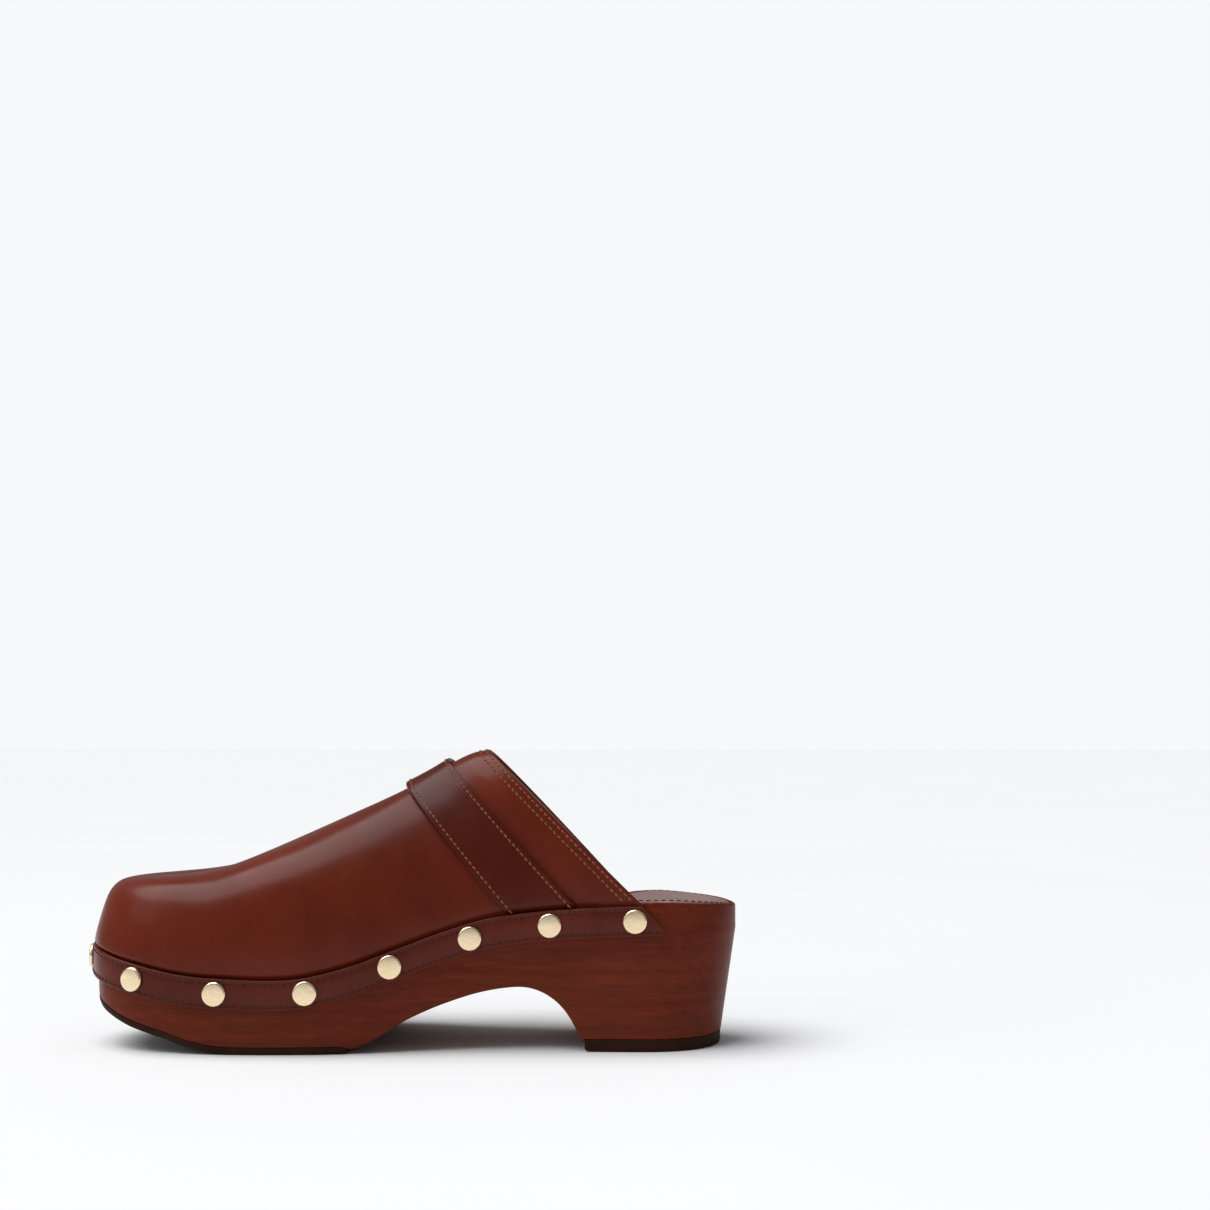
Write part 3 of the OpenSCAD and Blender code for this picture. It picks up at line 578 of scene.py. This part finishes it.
def tread_mesh(first, last, count):
    """A tread between the wood's underside and the floor side, with its lower edge rounded."""
    rows = []
    for t in spread(first, last, count):
        loop = []
        for side in (0, 1):
            p, n = wall_column(side, t)[0], np.append(rim_normal(side, t), 0)
            out = p + n * 0.45
            top, floor = wood_bottom(p[0]) - 0.1, sole_z(out[0])
            edge = [out + (0, 0, top - out[2]), out + (0, 0, mix(floor, top, 0.4) - out[2]),
                    out - n * 0.3 + (0, 0, floor + 0.12 - out[2]), out - n * 0.9 + (0, 0, floor - out[2])]
            loop.append(edge[::-1] if side else edge)
        left, right = loop
        bottom = [mix(left[3], right[0], j / 14) for j in range(1, 14)]
        bottom = [np.array([p[0], p[1], sole_z(p[0])]) for p in bottom]
        cover = [mix(right[3], left[0], j / 14) for j in range(1, 14)]
        cover = [np.array([p[0], p[1], wood_bottom(p[0]) - 0.1]) for p in cover]
        rows.append(left + bottom + right + cover)
    return rows


verts, faces = loops_mesh(tread_mesh(0.56875, 1, 150), True, False)
make("forefoot_tread_rubber", verts, faces, ROOT, RUBBER, ["forefoot_tread"], 40)
verts, faces = loops_mesh(tread_mesh(0, 0.2555, 110), False, True)
make("heel_tread_rubber", verts, faces, ROOT, RUBBER, ["heel_tread"], 40)


# ---------------------------------------------------------------- footbed
BED_GAP, SOCK_INSET, FOAM_T, SOCK_T = 0.33, 2.2, 1.6, 1.1


def bed(t):
    a, b = wall_column(0, t)[-1], wall_column(1, t)[-1]
    return a, b, float(np.linalg.norm((b - a)[:2]))


def bed_point(t, f, rise):
    a, b, _ = bed(t)
    p = mix(a, b, f)
    return np.array([p[0], p[1], footbed_z(p[0], f) + BED_GAP + rise])


def sock_in(side, t):
    """Distance of the sock's edge from the edge of the base's foot side."""
    behind_upper = 4 * ease((t - TOPLINE - side * LEAD + 0.045) / 0.05)
    return SOCK_INSET + behind_upper - step_in(side, t) + 4 * ease((t - 0.82) / 0.08)


def sock_rise(f, f0, f1, length):
    return (FOAM_T + BED_GAP) * ease(min(f - f0, f1 - f) * length / 9)


def slab(t_list, more_inset, rise_of, thick, across, round_r):
    """A thin sheet lying on the footbed, with its edge rounded over."""
    rows = []
    for t in t_list:
        _, _, length = bed(t)
        f0 = min(0.42, (sock_in(0, t) + more_inset) / length)
        f1 = 1 - min(0.42, (sock_in(1, t) + more_inset) / length)
        top, low = [], []
        for j in range(across + 1):
            f = mix(f0, f1, j / across)
            rise = rise_of(f, f0, f1, length)
            edge = min(f - f0, f1 - f) * length
            drop = round_r * (1 - math.sqrt(max(0, 1 - (1 - min(1, edge / round_r)) ** 2)))
            top.append(bed_point(t, f, rise + thick - drop))
            low.append(bed_point(t, f, rise))
        rows.append(top + low[::-1])
    return rows


rows = slab([0.012] + spread(0.02, 0.925, 150), 0, sock_rise, SOCK_T, 70, 0.8)
verts, faces = loops_mesh(rows, sheet=True)
make("insole_sock_leather", verts, faces, ROOT, SOCK, ["insole_sock"], 55)
rows = slab(spread(0.04, 0.905, 60), 7, lambda *_: 0.0, FOAM_T * 0.95, 16, 0.5)
verts, faces = loops_mesh(rows, sheet=True)
pad = make("footbed_foam_pad", verts, faces, ROOT, FOAM, ["footbed_foam"], 55)

SEAM_IN = 3.4
points = []
for side in (0, 1):
    for t in (spread(0.3, 0.03, 90) if side == 0 else spread(0.03, 0.3, 90)):
        _, _, length = bed(t)
        edge = sock_in(side, t)
        rise = (FOAM_T + BED_GAP) * ease(SEAM_IN / 9) + SOCK_T
        f = (edge + SEAM_IN) / length
        points.append(bed_point(t, f if side == 0 else 1 - f, rise + 0.02))
verts, faces = seam(points, [np.array([0, 0, 1.0])] * len(points), 3.0, 0.6)
make("insole_stitching", verts, faces, ROOT, SOCK_THREAD)


# ---------------------------------------------------------------- upper
def crossing(t, inset, climbs):
    left = [upper_point(0, t, s, -inset) for s in climbs]
    right = [upper_point(1, t, s, -inset) for s in climbs[-2::-1]]
    return left + right


LOW_CLIMB = [0.006, 0.012, 0.018, 0.026, 0.035, 0.05]
CLIMB = [-1, -0.5, 0] + LOW_CLIMB + spread(0.07, 1, 46)
FEW_CLIMB = [-1, -0.5, 0] + LOW_CLIMB + spread(0.08, 1, 24)


def shell(ts, outer_inset, inner_inset, climbs):
    """Rows of closed loops: over the outside, and back along the inside."""
    return [crossing(t, outer_inset(t), climbs) + crossing(t, inner_inset(t), climbs)[::-1] for t in ts]


edge_ts = [(TOPLINE, 0.75), (TOPLINE + 0.0006, 0.4), (TOPLINE + 0.0016, 0.12), (TOPLINE + 0.003, 0.0)]
rows = [crossing(t, i, CLIMB) + crossing(t, LEATHER - i * 0.6, CLIMB)[::-1] for t, i in edge_ts]
rows += shell(spread(TOPLINE + 0.008, 1, 190), lambda t: 0.0, lambda t: LEATHER, CLIMB)
verts, faces = loops_mesh(rows, True, False, True)
upper = make("upper_leather_shell", verts, faces, ROOT, UPPER, ["upper_leather"], 60)

lining_in = lambda t: LEATHER + GLUE + puff_in(t)
rows = shell(spread(TOPLINE + 0.002, 1, 110), lining_in, lambda t: lining_in(t) + LINING, FEW_CLIMB)
verts, faces = loops_mesh(rows, True, False, True)
make("upper_lining_shell", verts, faces, ROOT, LINING_MAT, ["upper_lining"], 60)
rows = shell(spread(PUFF_FROM + 0.01, 1, 40), lambda t: LEATHER + GLUE,
             lambda t: LEATHER + GLUE + PUFF * 0.95,
             FEW_CLIMB)
verts, faces = loops_mesh(rows, True, False, True)
make("toe_stiffener_shell", verts, faces, ROOT, FIBRE, ["toe_stiffener"], 60)
facing_in = LEATHER + LINING + 2 * GLUE + 0.05
rows = shell(spread(TOPLINE + 0.001, TOPLINE + 0.047, 12), lambda t: facing_in, lambda t: facing_in + 0.75,
             spread(0.1, 1, 30))
verts, faces = loops_mesh(rows, sheet=True)
make("topline_facing_strip", verts, faces, ROOT, FACING, ["topline_facing"], 60)


def cross_seam(t_of, s_from=0.02, count=60, lift=0.0):
    """Points and normals along a line across the upper, from the inner side over the ridge to the outer."""
    pts, nrm = [], []
    for side, climbs in ((0, spread(s_from, 1, count)), (1, spread(1, s_from, count)[1:])):
        for s in climbs:
            t = t_of(side, s)
            n = upper_normal(side, t, min(s, 0.985))
            pts.append(upper_point(side, t, s) + n * lift)
            nrm.append(n)
    return pts, nrm


def topline_t(distance):
    """Place along the rim at a distance in front of the topline, so that a seam keeps its spacing."""
    cache = {}

    def of(side, s):
        key = (side, round(s, 4))
        if key not in cache:
            a, b = upper_point(side, TOPLINE, s), upper_point(side, TOPLINE + 0.02, s)
            along = (upper_point(side, TOPLINE, min(1, s + 0.02))
                     - upper_point(side, TOPLINE, max(0.001, s - 0.02)))
            along /= np.linalg.norm(along)
            step = b - a
            wide = np.linalg.norm(step - along * (step @ along))
            cache[key] = TOPLINE + 0.02 * distance / wide
        return cache[key]
    return of


parts = []
for distance in (1.7, 4.2):
    p, n = cross_seam(topline_t(distance))
    parts.append(seam(p, n, 2.4, 0.75))
verts, faces = join(parts)
make("topline_stitching", verts, faces, ROOT, BRIGHT_THREAD)

# ---------------------------------------------------------------- band
STRAP_W, STRAP_MID, STRAP_HALF, TUCK = 21.5, 0.3102, 0.0474, 0.8
BAND_FROM, BAND_FULL = 0.151, 0.1785
STITCH_UP = BAND_W / 2 - 1.45


def bump_out(side, t):
    return (TUCK + 2 * GLUE) * ease((STRAP_HALF + 0.038 - abs(t - foot_place(side, STRAP_MID))) / 0.025)


def band_span(side, t):
    """Bottom and top of the band about its middle line: each end is cut on a slant, its tip rounded."""
    d = clamp01((t - side * LEAD - BAND_FROM) / (BAND_FULL - BAND_FROM))
    tip = math.sqrt(max(0.0, 1 - (1 - min(1.0, d / 0.16)) ** 2))
    top = mix(0.2, 1.0, d ** 0.9) if d < 1 else 1.0
    return -BAND_W / 2 + BAND_W * 0.16 * (1 - tip), -BAND_W / 2 + BAND_W * mix(0.18, top, tip)


def band_loop(side, t):
    lo, hi = band_span(side, t)
    a = 2 * GLUE + bump_out(side, t)
    b = a + BAND_T
    r = min(0.5, (hi - lo) * 0.3)
    z = band_z(rim(side, t)[0])
    quarter = np.linspace(0, math.pi / 2, 5)
    line = [(a, lo + 0.1)] + [(b - r + r * math.sin(q), lo + r - r * math.cos(q)) for q in quarter]
    for at in (-STITCH_UP, STITCH_UP):
        for up, dip in ((-0.75, 0), (-0.3, 0.1), (0.3, 0.1), (0.75, 0)):
            at_z = at + up
            inside = lo + r < at_z < hi - r
            line.append((b - (dip if inside else 0), min(max(at_z, lo + r), hi - r)))
    line += [(b - r + r * math.cos(q), hi - r + r * math.sin(q)) for q in quarter] + [(a, hi - 0.1)]
    out = []
    for d, up in line:
        p = rim(side, t, d)
        out.append(np.array([p[0], p[1], z + up]))
    return out


def band_places(side):
    lead = side * LEAD
    return spread(BAND_FROM + lead, BAND_FULL + lead, 26) + spread(BAND_FULL + lead + 0.003, 1, 230)


rows = [band_loop(0, t) for t in band_places(0)] + [band_loop(1, t) for t in band_places(1)[-2::-1]]
verts, faces = loops_mesh(rows)
band = make("band_strip", verts, faces, ROOT, BAND, ["band"], 50)

parts = []
for up in (-STITCH_UP, STITCH_UP):
    pts, nrm = [], []
    for side in (0, 1):
        ts = [t for t in band_places(side) if band_span(side, t)[1] > up + 0.9 and t > 0.1545 + side * LEAD]
        for t in (ts if side == 0 else ts[-2::-1]):
            p = rim(side, t, 2 * GLUE + bump_out(side, t) + BAND_T - 0.08)
            pts.append(np.array([p[0], p[1], band_z(rim(side, t)[0]) + up]))
            nrm.append(np.append(rim_normal(side, t), 0))
    parts.append(seam(pts, nrm, 2.5, 0.62))
verts, faces = join(parts)
make("band_stitching", verts, faces, ROOT, THREAD)

# ---------------------------------------------------------------- studs
STUD_PLACES = [[0.188, 0.3007, 0.408, 0.5135, 0.6225, 0.7405, 0.8545, 0.978],
               [0.207, 0.315, 0.4225, 0.5365, 0.6557, 0.7768, 0.8933]]
STUD_PROFILE = [(0, 1.44), (3.7, 1.44), (4.05, 1.38), (4.35, 1.2), (4.55, 0.9), (4.6, 0.6), (4.6, 0.25),
                (4.5, 0.02), (0.9, 0.0), (0.9, -12.5), (0, -14)]


def stud(side, t):
    base = rim(side, t, 2 * GLUE + bump_out(side, t) + BAND_T + 0.03)
    n = np.append(rim_normal(side, t), 0)
    b = np.array([-n[1], n[0], 0])
    o = np.array([base[0], base[1], band_z(rim(side, t)[0])])
    rows = [[o + n * h + (b * math.cos(q) + np.array([0, 0, 1]) * math.sin(q)) * max(r, 0.001)
             for q in np.linspace(0, 2 * math.pi, 49)[:-1]] for r, h in STUD_PROFILE]
    return loops_mesh(rows)


studs = [stud(side, t) for side in (0, 1) for t in STUD_PLACES[side]]
verts, faces = join(studs)
make("band_stud_set", verts, faces, ROOT, GOLD, ["band_studs"], 35)

# ---------------------------------------------------------------- buckle's own directions
BUCKLE_S, BAR_LIFT, BAR_D, TAB_T, TAB_W = 0.32, 4.75, 2.2, 1.2, 13.0


def unit(v):
    return v / np.linalg.norm(v)


O = upper_point(1, STRAP_MID, BUCKLE_S, BAR_LIFT)
U = unit(upper_point(1, STRAP_MID, BUCKLE_S + 0.06) - upper_point(1, STRAP_MID, BUCKLE_S - 0.06))
SIDE = upper_point(1, STRAP_MID + 0.03, BUCKLE_S) - upper_point(1, STRAP_MID - 0.03, BUCKLE_S)
W = unit(np.cross(U, SIDE))
W = W if W[1] > 0 else -W
V = np.cross(W, U)
SIGN = 1 if SIDE @ V > 0 else -1


def from_buckle(u, v, w):
    return O + u * U + v * V + w * W


# ---------------------------------------------------------------- strap
STRAP_GAP, BACK_T, STRAP_T = 0.3, 0.9, 1.5
LOOP_R = BAR_D / 2 + 0.12
LOOP_TOP = LOOP_R + TAB_T + 0.2


def strap_w_at(u, surface):
    if u > 0:
        return mix(surface, LOOP_TOP, ease((14.5 - u) / 14.5))
    return mix(LOOP_TOP, 0.95, ease(-u / 13.5)) - 0.035 * max(0, -u - 13.5) ** 2


def strap_point(kind, q, v, lift):
    """A point of the strap: kind and q say where along it, v runs from -1 to 1 across it."""
    if kind == "in":
        return upper_point(0, STRAP_MID + STRAP_HALF * v, q, lift)
    if kind == "tail":
        return from_buckle(q, SIGN * STRAP_W / 2 * v, strap_w_at(q, 0) + lift - STRAP_GAP)
    u = float((upper_point(1, STRAP_MID, q, STRAP_GAP) - O) @ U)
    own = upper_point(1, STRAP_MID + STRAP_HALF * v, q, STRAP_GAP) - O
    at = mix(float(own @ U), u, ease((16 - u) / 14))
    b = from_buckle(at, SIGN * STRAP_W / 2 * v, strap_w_at(at, float(own @ W)) + lift - STRAP_GAP)
    return mix(upper_point(1, STRAP_MID + STRAP_HALF * v, q, lift), b, ease((30 - u) / 12))


def strap_path(tucked):
    way = [("in", s) for s in ([-0.75, -0.4, -0.1, 0, 0.006, 0.012, 0.02, 0.028] if tucked else [])]
    way += [("in", s) for s in spread(0.036, 0.98, 80)] + [("out", s) for s in spread(0.98, 0.36, 90)]
    return way + [("tail", u) for u in spread(2.2, -19.3, 44)]


def strap_tip(kind, q):
    """Half width near the strap's end, as a fraction."""
    return math.sqrt(max(0.02, 1 - ((-q - 14.5) / 5.0) ** 2)) if kind == "tail" and q < -14.5 else 1.0


def ribbon_rows(path, low, thick, edge, round_r, grooves=(), skive=True):
    """Closed loops round a strap layer: underside, rounded edges and a top with stitch grooves."""
    rows = []
    for kind, q in path:
        tuck = ease((0.03 - q) / 0.03) if kind == "in" and skive else 0.0
        base, t = mix(low, GLUE, tuck), mix(thick, TUCK, tuck)
        width = STRAP_W / 2 * edge * strap_tip(kind, q)
        r = min(round_r, t * 0.48)
        line = []
        for k in range(9):
            line.append((mix(-1, 1, k / 8) * (width - r), base))
        line += [(width - r + r * math.sin(a), base + r - r * math.cos(a))
                 for a in np.linspace(0, math.pi / 2, 4)[1:]]
        line += [(width - r + r * math.cos(a), base + t - r + r * math.sin(a))
                 for a in np.linspace(0, math.pi / 2, 5)]
        tops = [1.0, 0.9, 0.86, 0.8, 0.74, 0.7, 0.5, 0.25, 0,
                -0.25, -0.5, -0.7, -0.74, -0.8, -0.86, -0.9, -1.0]
        for f in tops[1:-1]:
            dip = 0.12 if grooves and abs(abs(f) - 0.8) < 0.05 else 0.0
            line.append((f * (width - r), base + t - dip))
        line += [(-(width - r) - r * math.sin(a), base + t - r + r * math.cos(a))
                 for a in np.linspace(0, math.pi / 2, 5)]
        line += [(-(width - r) - r * math.cos(a), base + r - r * math.sin(a))
                 for a in np.linspace(0, math.pi / 2, 4)[1:-1]]
        rows.append([strap_point(kind, q, x / (STRAP_W / 2), lift) for x, lift in line])
    return rows


def cut_slot(obj, u0, u1, half_width, w0, w1):
    """Cuts a round-ended slot for the prong through a strap layer."""
    rows = []
    outline = []
    for a in np.linspace(-90, 90, 13):
        outline.append((u1 - half_width + half_width * math.cos(math.radians(a)),
                        half_width * math.sin(math.radians(a))))
    for a in np.linspace(90, 270, 13):
        outline.append((u0 + half_width + half_width * math.cos(math.radians(a)),
                        half_width * math.sin(math.radians(a))))
    for w in (w0, w1):
        rows.append([from_buckle(u, v, w) for u, v in outline])
    v, f = loops_mesh(rows)
    mesh = bpy.data.meshes.new("cutter")
    mesh.from_pydata([tuple(p * MM) for p in v], [], f)
    cutter = bpy.data.objects.new("cutter", mesh)
    bpy.context.scene.collection.objects.link(cutter)
    bm = bmesh.new()
    bm.from_mesh(mesh)
    bmesh.ops.recalc_face_normals(bm, faces=bm.faces)
    bm.to_mesh(mesh)
    bm.free()
    mod = obj.modifiers.new("slot", "BOOLEAN")
    mod.object, mod.operation, mod.solver = cutter, "DIFFERENCE", "EXACT"
    bpy.context.view_layer.update()
    cut = bpy.data.meshes.new_from_object(obj.evaluated_get(bpy.context.evaluated_depsgraph_get()))
    obj.modifiers.remove(mod)
    obj.data = cut
    bpy.data.objects.remove(cutter)


LOW = STRAP_GAP + BACK_T + GLUE
verts, faces = loops_mesh(ribbon_rows(strap_path(True), LOW, STRAP_T, 1.0, 0.5, grooves=True))
strap = make("strap_leather_top", verts, faces, ROOT, SHADED_STRAP_LEATHER, ["strap"], 50)
cut_slot(strap, -1.8, 11.7, 1.55, -8, 8)
verts, faces = loops_mesh(ribbon_rows(strap_path(False), STRAP_GAP, BACK_T, 0.97, 0.35, skive=False))
backing = make("strap_backing_layer", verts, faces, ROOT, BACKING, ["strap_backing"], 50)
cut_slot(backing, -1.8, 11.7, 1.55, -8, 8)

parts = []
for v in (-0.83, 0.83):
    path = [("in", 0.004), ("in", 0.02)]
    path += [(k, q) for k, q in strap_path(False) if not (k == "tail" and q < -16)]
    pts = [strap_point(k, q, v, LOW + STRAP_T - 0.06) for k, q in path]
    lifted = [strap_point(k, q, v, LOW + STRAP_T + 0.9) for k, q in path]
    parts.append(seam(pts, [unit(b - a) for a, b in zip(pts, lifted)], 2.4, 0.75))
verts, faces = join(parts)
make("strap_stitching", verts, faces, ROOT, BRIGHT_THREAD)

# ---------------------------------------------------------------- tab
UNDER_BAR = -(LOOP_R + TAB_T)


def tab_loop(kind, q, half_width, centre):
    def point(v, lift):
        x = centre + v * half_width
        if kind == "skin":
            low = GLUE if q < 0.03 else STRAP_GAP
            thick = TUCK if q < 0.03 else TAB_T
            return upper_point(1, STRAP_MID + STRAP_HALF * x / (STRAP_W / 2), q, low + thick * lift)
        if kind == "free":
            (u, w), (nu, nw), thick = q
            return from_buckle(u + nu * thick * lift, SIGN * x, w + nw * thick * lift)
        r = LOOP_R + TAB_T * (1 - lift)
        return from_buckle(r * math.sin(q), SIGN * x, -r * math.cos(q))
    edge = 0.94
    line = [(-edge, 0), (0, 0), (edge, 0), (1, 0.3), (1, 0.7), (edge, 1), (0, 1), (-edge, 1),
            (-1, 0.7), (-1, 0.3)]
    return [point(v, lift) for v, lift in line]


def tab_part(half_width, centre, stations):
    return loops_mesh([tab_loop(k, q, half_width, centre) for k, q in stations])


lower = [("skin", s) for s in (-0.75, -0.3, 0, 0.035, 0.07, 0.11, 0.15, 0.19)]
lower += [("free", ((-6.2, UNDER_BAR - 0.5), (0, 1), TAB_T)),
          ("free", ((-3.6, UNDER_BAR - 0.1), (0, 1), TAB_T))]
round_bar = [("ring", a) for a in np.linspace(0, math.pi, 15)]
back = [("free", ((-2.0, 2.36), (0.1, -1), TAB_T)), ("free", ((-3.6, 1.6), (-0.45, -0.9), TAB_T)),
        ("free", ((-5.6, 0.35), (-0.5, -0.85), TAB_T)), ("free", ((-7.8, -0.75), (-0.2, -0.98), 0.8))]
half_loop = (TAB_W / 2 - 1.6) / 2
parts = [tab_part(TAB_W / 2, 0, lower)]
for sign in (-1, 1):
    parts.append(tab_part(half_loop, sign * (1.6 + half_loop), lower[-1:] + round_bar + back))
verts, faces = join(parts)
make("buckle_tab_leather", verts, faces, ROOT, SHADED_STRAP_LEATHER, ["buckle_tab"], 50)

# ---------------------------------------------------------------- buckle
UP_REACH, DOWN_REACH, BEND, RAIL, FRAME_T = 17.5, 15.5, math.radians(4), 3.0, 2.8
FRAME_W = STRAP_W + 2.2 + 2 * RAIL


def bent(u, v, w):
    """A point of the flat frame, with each half bent towards the foot about the bar."""
    a = BEND * (1 if u > 0 else -1) * ease(abs(u) / 1.5)
    return from_buckle(u * math.cos(a) + w * math.sin(a), v,
                       -abs(u) * math.sin(BEND) * ease(abs(u) / 1.5) + w * math.cos(a))


def frame_path():
    hw, r = FRAME_W / 2 - RAIL / 2, 3.0
    up, down = UP_REACH - RAIL / 2, -(DOWN_REACH - RAIL / 2)
    pts = []
    for cu, cv, a0 in ((up - r, hw - r, 90), (up - r, -hw + r, 0), (down + r, -hw + r, -90),
                       (down + r, hw - r, -180)):
        for a in np.linspace(a0, a0 - 90, 12):
            q = math.radians(a)
            pts.append((cu + r * math.cos(q), cv + r * math.sin(q)))
    dense = []
    for k, p in enumerate(pts):
        nxt = pts[(k + 1) % len(pts)]
        steps = max(1, int(math.dist(p, nxt) / 0.8))
        dense += [(mix(p[0], nxt[0], j / steps), mix(p[1], nxt[1], j / steps)) for j in range(steps)]
    return dense


path = frame_path()
rows = []
for k, (u, v) in enumerate(path):
    a, b = path[k - 1], path[(k + 1) % len(path)]
    tangent = unit(np.array([b[0] - a[0], b[1] - a[1]]))
    n = np.array([tangent[1], -tangent[0]])
    loop = []
    for q in np.linspace(0, 2 * math.pi, 25)[:-1]:
        c, s = math.cos(q), math.sin(q)
        x = RAIL / 2 * math.copysign(abs(c) ** 0.75, c)
        z = FRAME_T / 2 * math.copysign(abs(s) ** 0.75, s)
        loop.append(bent(u + n[0] * x, v + n[1] * x, z))
    rows.append(loop)
verts, faces = loops_mesh(rows + rows[:1], False, False)


def lathe(profile, axis_point, axis, across, count=48):
    """A body of revolution: profile is (along, radius)."""
    other = np.cross(axis, across)
    return loops_mesh([[axis_point + axis * h + (across * math.cos(q) + other * math.sin(q)) * max(r, 0.001)
                        for q in np.linspace(0, 2 * math.pi, count + 1)[:-1]] for h, r in profile])


parts = [(verts, faces)]
for sign in (-1, 1):
    mid = from_buckle(0, sign * (FRAME_W - RAIL) / 2, 0)
    h, r = RAIL / 2 + 0.02, 2.12
    parts.append(lathe([(-h, 1.16), (-h, r - 0.3), (-h + 0.1, r - 0.08), (-h + 0.3, r), (h - 0.3, r),
                        (h - 0.1, r - 0.08), (h, r - 0.3), (h, 1.16)], mid, V, U))
verts, faces = join(parts)
make("buckle_frame_ring", verts, faces, BUCKLE, BUCKLE_GOLD, ["buckle_frame"], 40)
h = FRAME_W / 2
profile = [(-h - 0.65, 0), (-h - 0.65, 0.9), (-h - 0.5, 1.35), (-h - 0.3, 1.55),
           (-h - 0.07, 1.58), (-h - 0.05, BAR_D / 2)]
verts, faces = lathe(profile + [(-a, r) for a, r in profile[::-1]], from_buckle(0, 0, 0), V, U)
make("buckle_bar_pin", verts, faces, BUCKLE, BUCKLE_GOLD, ["buckle_bar"], 35)

PRONG_LIFT, PRONG_D = 1.45, 1.8
rows = []
for k in range(40):
    f = k / 39
    u = f * (UP_REACH + 1.3)
    r = PRONG_D / 2 * mix(1.06, 0.88, f)
    if f > 0.93:
        r *= math.sqrt(max(0.01, 1 - ((f - 0.93) / 0.07) ** 2))
    w = PRONG_LIFT + 0.1 * math.sin(f * math.pi)
    rows.append([from_buckle(u, r * math.cos(q), w + r * 0.92 * math.sin(q))
                 for q in np.linspace(0, 2 * math.pi, 25)[:-1]])
tube = loops_mesh(rows)
ring_r, ring_h = LOOP_R + 1.1, 1.2
ring = []
for h, r in [(-ring_h, BAR_D / 2 + 0.05), (-ring_h, ring_r - 0.25), (-ring_h + 0.25, ring_r),
             (ring_h - 0.25, ring_r),
             (ring_h, ring_r - 0.25), (ring_h, BAR_D / 2 + 0.05)]:
    ring.append([from_buckle(r * math.cos(q), h, r * math.sin(q))
                 for q in np.linspace(0, 2 * math.pi, 49)[:-1]])
ring_mesh = loops_mesh(ring + ring[:1], False, False)
verts, faces = join([tube, ring_mesh])
make("buckle_prong_pin", verts, faces, PRONG, BUCKLE_GOLD, ["buckle_prong"], 40)

# ---------------------------------------------------------------- stage, light and camera
n = Nodes("floor")
n.set(Base_Color=n.ramp(n.noise(3, 2), (0.3, (0.875, 0.88, 0.89)), (0.7, (0.89, 0.895, 0.905))),
      Roughness=0.75,
      Specular_IOR_Level=0.2)
bpy.ops.mesh.primitive_plane_add(size=60, location=(0, 20.0, -0.0002))
floor = bpy.context.object
floor.name = "floor"
floor.data.materials.append(n.material)

bpy.context.scene.view_settings.view_transform = "Standard"
world = bpy.data.worlds.new("studio")
bpy.context.scene.world = world
world.use_nodes = True
tree = world.node_tree
background = tree.nodes["Background"]
background.inputs[0].default_value = (0.96, 0.975, 1.0, 1)
seen = tree.nodes.new("ShaderNodeLightPath")
level = tree.nodes.new("ShaderNodeMapRange")
level.inputs["To Min"].default_value, level.inputs["To Max"].default_value = 0.24, 0.965
tree.links.new(seen.outputs["Is Camera Ray"], level.inputs["Value"])
tree.links.new(level.outputs[0], background.inputs[1])


def area_light(name, at, to, size, watts, colour=(1, 1, 1)):
    data = bpy.data.lights.new(name, "AREA")
    data.shape, data.size, data.size_y = "RECTANGLE", size[0], size[1]
    data.energy, data.color = watts, colour
    obj = bpy.data.objects.new(name, data)
    obj.location = at
    obj.rotation_euler = (Vector(to) - Vector(at)).to_track_quat("-Z", "Y").to_euler()
    bpy.context.scene.collection.objects.link(obj)


sun = bpy.data.objects.new("sky", bpy.data.lights.new("sky", "SUN"))
sun.data.energy, sun.data.angle = 2.95, math.radians(50)
sun.rotation_euler = Vector((0.45, 0.1, -1.0)).to_track_quat("-Z", "Y").to_euler()
bpy.context.scene.collection.objects.link(sun)
area_light("left", (-1.3, -0.8, 0.9), (-0.05, 0, 0.05), (0.8, 0.9), 3)

camera = bpy.data.objects.new("camera", bpy.data.cameras.new("camera"))
bpy.context.scene.collection.objects.link(camera)
bpy.context.scene.camera = camera
camera.data.sensor_width, camera.data.lens = 36, 47.8
camera.location = (0.094, -0.648, 0.1152)
heading, pitch = (-0.0276, 0.9996), math.radians(5.02)
aim = Vector((heading[0] * math.cos(pitch), heading[1] * math.cos(pitch), math.sin(pitch)))
camera.rotation_euler = aim.to_track_quat("-Z", "Y").to_euler()
camera.data.clip_start = 0.01
